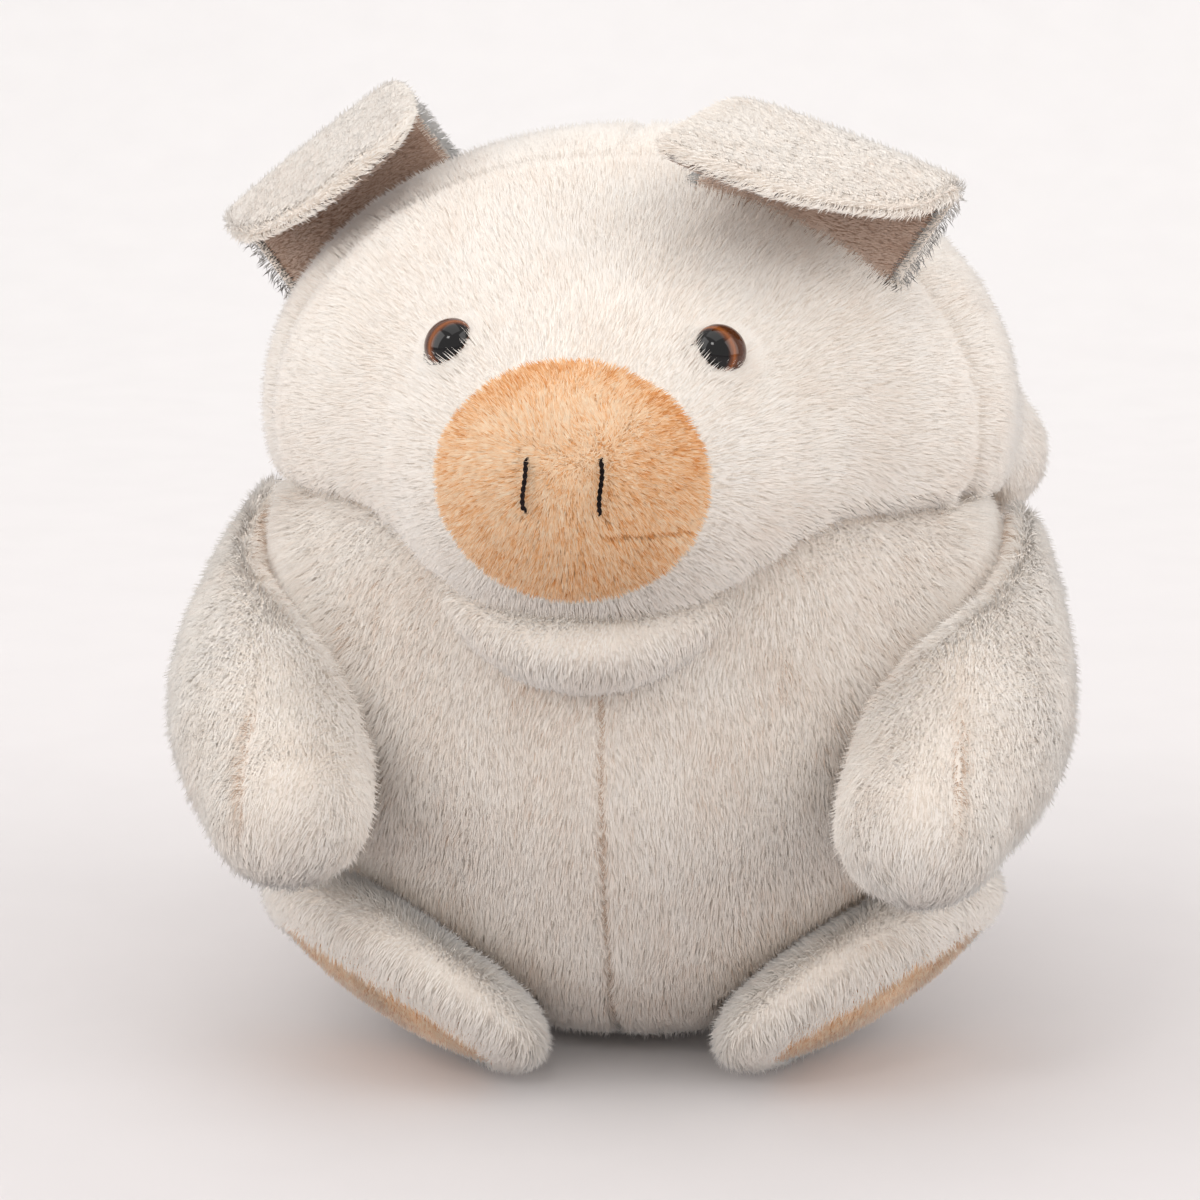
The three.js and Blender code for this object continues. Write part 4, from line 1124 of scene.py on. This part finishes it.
fur_chin()

# Eyes and nostrils
EYE_R, EYE_SINK, EYE_BULGE = 6.0, 2.4, 5.0
EYE_FLOOR = 1.9 - EYE_SINK
EYE_RINGS, EYE_SIDES = 18, 48
GAZE_IN = 0.42  # seen through the dome the pupil looks forwards, a little towards the nose
THREAD_R, PLY_OFF = 0.3, 0.26


def eye_axes(side):
    """Place of an eye on the head as it rests, the two ways across it and the way out."""
    start, out = eye_place(side)
    at = yawed(start[None])[0]
    out = yawed((start + out)[None])[0] - at
    x = unit(np.cross(out, [0, 0, 1]))
    return at, x, np.cross(out, x), out


def eye_dome(at, x, y, out):
    turn = np.linspace(0, 2 * np.pi, EYE_SIDES, endpoint=False)[:, None]
    shape = []
    for i in range(1, EYE_RINGS):
        a = (1 - i / EYE_RINGS) * math.pi / 2
        shape.append((EYE_R * math.cos(a), EYE_FLOOR + EYE_BULGE * math.sin(a)))
    shape += [(EYE_R, EYE_FLOOR), (EYE_R - 0.4, EYE_FLOOR - 0.1)]
    rows = [at + out * h + r * (x * np.cos(turn) + y * np.sin(turn)) for r, h in shape]
    top, base = at + out * (EYE_FLOOR + EYE_BULGE), at + out * (EYE_FLOOR - 0.1)
    return np.vstack([[top], *rows, [base]]), ring_faces(len(rows), EYE_SIDES)


def iris_map(p, side, at, x, y, out):
    """How far each point of the dome lies from the pupil to the rim, and how far round."""
    ahead = yawed(np.array([[-GAZE_IN * side, AXIS_Y - 1, 0.1]]))
    gaze = unit(ahead - np.array([[0, AXIS_Y, 0]]))[0]
    rise = np.maximum((p - at) @ out - EYE_FLOOR, 0)
    local = np.stack([(p - at) @ x / EYE_R**2, (p - at) @ y / EYE_R**2, rise / EYE_BULGE**2], axis=1)
    facing = unit(local) @ np.array([gaze @ x, gaze @ y, gaze @ out])
    level = np.clip(np.arccos(np.clip(facing, -1, 1)) / rad(74), 0, 1)
    level[len(p) - 2 * EYE_SIDES - 1:] = 1.0
    return level, (np.arctan2(local[:, 1], local[:, 0]) / (2 * math.pi)) % 1.0


def make_eye(name, side):
    axes = eye_axes(side)
    p, faces = eye_dome(*axes)
    ob = facing_out(mesh_object(name + "_eye_dome", p, faces))
    level, around = iris_map(p, side, *axes)
    corner = np.empty(len(ob.data.loops), np.int32)
    ob.data.loops.foreach_get("vertex_index", corner)
    layer = ob.data.uv_layers.new(name="OFBake")
    uv = np.stack([level[corner], around[corner]], axis=1)
    layer.data.foreach_set("uv", uv.astype(np.float32).ravel())
    rounded(ob)
    ob.data.materials.append(EYE)
    finished(ob, "head", "eye_lens", name + "_eye_lens")


def stitch_line(side):
    """Middle of a nostril's thread, whose ends go into the snout."""
    line = []
    for t in np.linspace(-0.62, 0.62, 61):
        x = side * STITCH_SIDE + 0.3 * math.sin(5 * t)
        q = head_point(np.array([x, MUZZLE_FRONT, SNOUT_Z + 1 + t * 10.6]) - SKULL_AT)
        lift = -0.2 - 2.0 * max(abs(t) - 0.45, 0) / 0.17
        line.append((q + head_normal(q) * lift)[0])
    return yawed(np.array(line))


def make_stitch(name, side):
    """A stitch of two-ply thread."""
    line = stitch_line(side)
    along = unit(np.gradient(line, axis=0))
    a = unit(np.cross(along, [0, 1, 0]))
    b = np.cross(along, a)
    points, faces = [], []
    for ply in range(2):
        twist = np.linspace(0, 9 * math.pi, len(line)) + ply * math.pi
        spine = line + PLY_OFF * (a * np.cos(twist)[:, None] + b * np.sin(twist)[:, None])
        first = sum(len(part) for part in points)
        p, sides = limb(spine, [THREAD_R] * len(spine), 8, 60, 3, across=(0, 1, 0.01))
        points.append(p)
        faces += [tuple(i + first for i in face) for face in sides]
    ob = facing_out(mesh_object(name + "_nostril_thread", np.vstack(points), faces))
    rounded(ob)
    ob.data.materials.append(THREAD)
    finished(ob, "head", "thread", name + "_nostril_stitch")


for side_name, side in SIDES:
    make_eye(side_name, side)
    make_stitch(side_name, side)

# Ears
LINING_UNDER = -1.1  # the lining starts this far over the ear's middle sheet


def dress_ear(name, side):
    body = name + "_ear"
    ear = make_ear(name, side)
    soft_skin(ear, body, CREAM_CLOTH, 0.3, name + "_ear_outer", name + "_ear_lining")
    rng = np.random.default_rng(20 + side)
    at, normal = roots_on(ear, DENSITY * 1.7, rng)
    keep = head_distance(yawed(at, back=True)) > -2.5
    at, normal = at[keep], normal[keep]
    slope = rad(EARS[name][3])
    nap = np.tile([-math.cos(slope) * side, -0.2, math.sin(slope) - 0.2], (len(at), 1))
    above, face = ear_faces(at, name, side)
    outside = above > LINING_UNDER
    rim = 1 - np.abs((normal * face).sum(1))
    lit = np.where(outside[:, None], unit(0.5 * normal + face), normal)
    length, lean = 3.2 + 1.2 * rim, 54 - 14 * rim
    hair = tufts(at, normal, nap, length, WIDE, lean, rng, 500 + side, wild=0.3, lit=lit)
    pile(name + "_ear_outer", hair.only(outside), CREAM, body, "cream_plush")
    # the lining takes the cream pile and backing painted darker, as in the shade inside the fold
    pile(name + "_ear_lining", hair.only(~outside), SHADED_LINING, body, "tan_plush")
    patch(ear, SHADED_LINING_CLOTH, lambda p: ear_faces(p, name, side)[0] < LINING_UNDER)


for side_name, side in SIDES:
    dress_ear(side_name, side)


# Arms
def arm_seam(p, name):
    """Distance outside the seam down the front of the arm."""
    return np.abs(p[:, 0]) - (abs(SHOULDERS[name][0]) + 2)


def sewn_arm(name, side):
    """The arm's skin, swollen between its seams and eased where it lies against the torso."""
    arm = make_arm(name, side)
    puffed(arm, lambda p: np.maximum(near_seam(arm_seam(p, name), 3.0), torso_gap(p) < 4.0), 2.6, 1.4)
    relaxed(arm, 10)
    p = points_of(arm)
    upper = smooth((p[:, 2] - SHOULDERS[name][2] + 30) / 18)
    relaxed(arm, 90, smooth((16 - torso_gap(p)) / 8) * upper)
    return soft_skin(arm, name + "_arm", CREAM_CLOTH, 0.75, name + "_arm_outer", name + "_arm_inner")


def arm_pressed(at, normal):
    """Where the arm lies flat against the torso or the head."""
    q = yawed(at, back=True)
    by_torso = (torso_gap(at) < 0.8) & ((normal * torso_outward(at)).sum(1) < -0.6)
    by_head = (head_distance(q) < 0.8) & ((normal * head_normal(q)).sum(1) < -0.6)
    return by_torso | by_head


def dress_arm(name, side):
    arm = sewn_arm(name, side)
    rng = np.random.default_rng(30 + side)
    at, normal = roots_on(arm, DENSITY * 1.7, rng)
    keep = (rng.random(len(at)) < 0.62) | (torso_gap(at) < 8.0)
    at, normal = at[keep], normal[keep]
    aside = arm_seam(at, name)
    seam = near_seam(aside, 3.0) * smooth(normal[:, 2] + 0.5)
    seam = seam * smooth((SHOULDERS[name][2] - 10 - at[:, 2]) / 20)
    away = torso_outward(at)
    inward = smooth((0.3 - (normal * away).sum(1)) / 0.9)
    edge = 1 - smooth(torso_gap(at) / 9.0)
    nap = np.tile([0.0, -math.sin(ARM_SLOPE) * 0.8, -math.cos(ARM_SLOPE) - 0.4], (len(at), 1))
    nap[:, 0] += 0.35 * side * seam * np.sign(aside)
    nap = nap * (1 - 0.8 * edge)[:, None] - away * (1.1 * edge)[:, None]
    close = (1 - 0.3 * inward * edge) * np.where(arm_pressed(at, normal), 0.45, 1.0)
    length = 5.8 * close * (1 - 0.4 * seam)
    lit = unit(normal + (0.7 * inward)[:, None] * (away + np.array([0, -0.5, 0.6])))
    sunk = at - normal * seam[:, None] * 0.6
    hair = tufts(sunk, normal, nap, length, WIDE, 43, rng, 600 + side, lit=lit)
    # painted shade: darker along the seam and in the crease where the arm meets the torso
    hair = hair.toned(-0.45 * seam - 0.5 * inward * edge)
    for panel, part in (("_arm_outer", aside >= 0), ("_arm_inner", aside < 0)):
        pile(name + panel, hair.only(part), CREAM, name + "_arm", "cream_plush")


for side_name, side in SIDES:
    dress_arm(side_name, side)


# Legs
def sole_reach(p, leg):
    """Below 1 on the sole."""
    local = p - leg["at"]
    r = np.hypot(local @ leg["toe"] / 33, local @ leg["wide"] / 18)
    return np.where(local @ leg["out"] > 9, r, 9.0)


def fur_leg(ob, leg, rng, seed):
    at, normal = roots_on(ob, DENSITY * 1.1, rng)
    keep = ((at - leg["at"]) @ leg["out"] > 2.0) & (sole_reach(at, leg) > 1.0)
    at, normal = at[keep], normal[keep]
    nap = at - leg["at"]
    nap = unit(nap - leg["out"] * (nap @ leg["out"])[:, None]) * 0.4
    nap = nap + leg["out"] * 0.8 + np.array([0, 0, -0.3])
    return tufts(at, normal, nap, np.full(len(at), 5.6), WIDE, 38, rng, seed)


def fur_sole(ob, leg, rng, seed):
    at, normal = roots_on(ob, DENSITY * 3.5, rng)
    keep = sole_reach(at, leg) < 1.02
    at, normal = at[keep], normal[keep]
    nap = np.tile(leg["toe"] * 0.6, (len(at), 1))
    length, root = np.full(len(at), 3.0), at + normal * 0.6
    return tufts(root, normal, nap, length, SHORT_WIDE, 46, rng, seed, pull=0.35, wild=0.7, **CURLED)


def dress_leg(name, side):
    leg, body = LEGS[name], name + "_leg"
    ob = make_leg(name, side)
    puffed(ob, lambda p: ((p - leg["at"]) @ leg["out"] < 4).astype(float), 2.6, 1.4)
    soft_skin(ob, body, CREAM_CLOTH, 0.7, name + "_leg_upper", name + "_leg_sole")
    patch(ob, TAN_CLOTH, lambda p: sole_reach(p, leg) < 1.0)
    rng = np.random.default_rng(40 + side)
    pile(name + "_leg_upper", fur_leg(ob, leg, rng, 700 + side), CREAM, body, "cream_plush")
    pile(name + "_leg_sole", fur_sole(ob, leg, rng, 800 + side), TAN, body, "tan_plush")


for side_name, side in SIDES:
    dress_leg(side_name, side)


# Tail
def dress_tail():
    tail = soft_skin(make_tail(), "tail", CREAM_CLOTH, 0.6, "tail")
    rng = np.random.default_rng(50)
    at, normal = roots_on(tail, DENSITY * 1.6, rng)
    nap = np.tile([0.1, 0.9, -0.2], (len(at), 1))
    hair = tufts(at, normal, nap, np.full(len(at), 2.4), WIDE, 40, rng, 900)
    pile("tail", hair, CREAM, "tail", "cream_plush")


dress_tail()


# Inner pieces keep their solids
def inner_look(name):
    looks = {"stuffing": FILL, "pellet_bag": BAG, "washer": WASHER, "eye_post": BLACK}
    for word, look in looks.items():
        if word in name:
            return look
    return None


for name, node in frame["nodes"].items():
    look = inner_look(name)
    if look:
        node.data.materials.clear()
        node.data.materials.append(look)


# Floor, light and camera
def paper_material():
    """Pale paper with painted shade: a little darker towards the front, where less light falls."""
    m = Nodes("paper_sweep")
    place = m.add("ShaderNodeTexCoord")
    grain = m.add("ShaderNodeTexNoise", Scale=30.0, Detail=2.0)
    m.link(place.outputs["Object"], grain.inputs["Vector"])
    split = m.add("ShaderNodeSeparateXYZ")
    m.link(place.outputs["Object"], split.inputs[0])
    reach = m.add("ShaderNodeMapRange")
    for key, value in (("From Min", -0.35), ("From Max", 0.9)):
        reach.inputs[key].default_value = value
    m.link(split.outputs["Y"], reach.inputs["Value"])
    # painted shade: the paper darkens towards the front
    front_shade = m.ramp(reach.outputs["Result"], [(0.0, srgb(212, 208, 209)), (1.0, srgb(250, 248, 248))])
    paper = m.ramp(grain.outputs["Fac"], [(0.2, (0.975, 0.975, 0.975, 1)), (0.8, (1, 1, 1, 1))])
    m.link(m.times(front_shade, paper), m.shader.inputs["Base Color"])
    m.set(Roughness=0.7, Specular_IOR_Level=0.2)
    return m.material


def make_floor():
    rows = [(-9.0, 0.0), (0.9, 0.0)]
    for i in range(1, 13):
        a = rad(90 * i / 12)
        rows.append((0.9 + 0.8 * math.sin(a), 0.8 * (1 - math.cos(a))))
    rows.append((1.7, 4.0))
    points, faces = [], []
    for y, z in rows:
        points += [(-9000, y * 1000, z * 1000), (9000, y * 1000, z * 1000)]
    for i in range(len(rows) - 1):
        faces.append((2 * i, 2 * i + 1, 2 * i + 3, 2 * i + 2))
    ob = mesh_object("floor", points, faces)
    rounded(ob)
    ob.data.materials.append(paper_material())


def lamp(name, at, towards, size, power, colour=(1, 1, 1)):
    data = bpy.data.lights.new(name, "AREA")
    data.shape = "RECTANGLE"
    data.size, data.size_y = size
    data.energy = power
    data.color = colour
    ob = bpy.data.objects.new(name, data)
    scene.collection.objects.link(ob)
    ob.location = at
    ob.rotation_mode = "QUATERNION"
    ob.rotation_quaternion = (Vector(towards) - Vector(at)).to_track_quat("-Z", "Y")


def make_world():
    world = bpy.data.worlds.new("studio")
    world.use_nodes = True
    sky = world.node_tree.nodes["Background"]
    sky.inputs["Color"].default_value = (1.0, 0.985, 0.975, 1)
    sky.inputs["Strength"].default_value = 0.78
    scene.world = world
    scene.view_settings.view_transform = "Standard"
    scene.cycles.max_bounces = 16
    scene.cycles.diffuse_bounces = 12


def make_camera(azimuth, elevation, far, half_width):
    az, el = rad(azimuth), rad(elevation)
    back = Vector((math.sin(az) * math.cos(el), -math.cos(az) * math.cos(el), math.sin(el)))
    right = Vector((math.cos(az), math.sin(az), 0))
    aim = Vector((0, AXIS_Y * MM, 0.103)) - right * 0.009
    data = bpy.data.cameras.new("camera")
    data.angle = 2 * math.atan(half_width / far)
    data.clip_start = 0.01
    ob = bpy.data.objects.new("camera", data)
    scene.collection.objects.link(ob)
    ob.location = aim + back * far
    ob.rotation_mode = "QUATERNION"
    ob.rotation_quaternion = (-back).to_track_quat("-Z", "Y")
    scene.camera = ob


make_floor()
lamp("key", (-0.3, -0.85, 1.05), (0, -0.02, 0.12), (0.22, 0.19), 1.1, (1.0, 0.98, 0.955))
lamp("top", (-0.1, -0.1, 1.5), (0, 0, 0.1), (1.3, 1.0), 3.7, (1.0, 0.985, 0.965))
lamp("left", (-1.1, -0.4, 0.75), (0, 0, 0.12), (0.9, 1.2), 6.2, (1.0, 0.98, 0.96))
lamp("right", (1.1, -0.3, 0.75), (0, 0, 0.12), (0.9, 1.2), 6.0, (1.0, 0.98, 0.96))
make_world()
make_camera(6.0, 13.0, 0.85, 0.15)
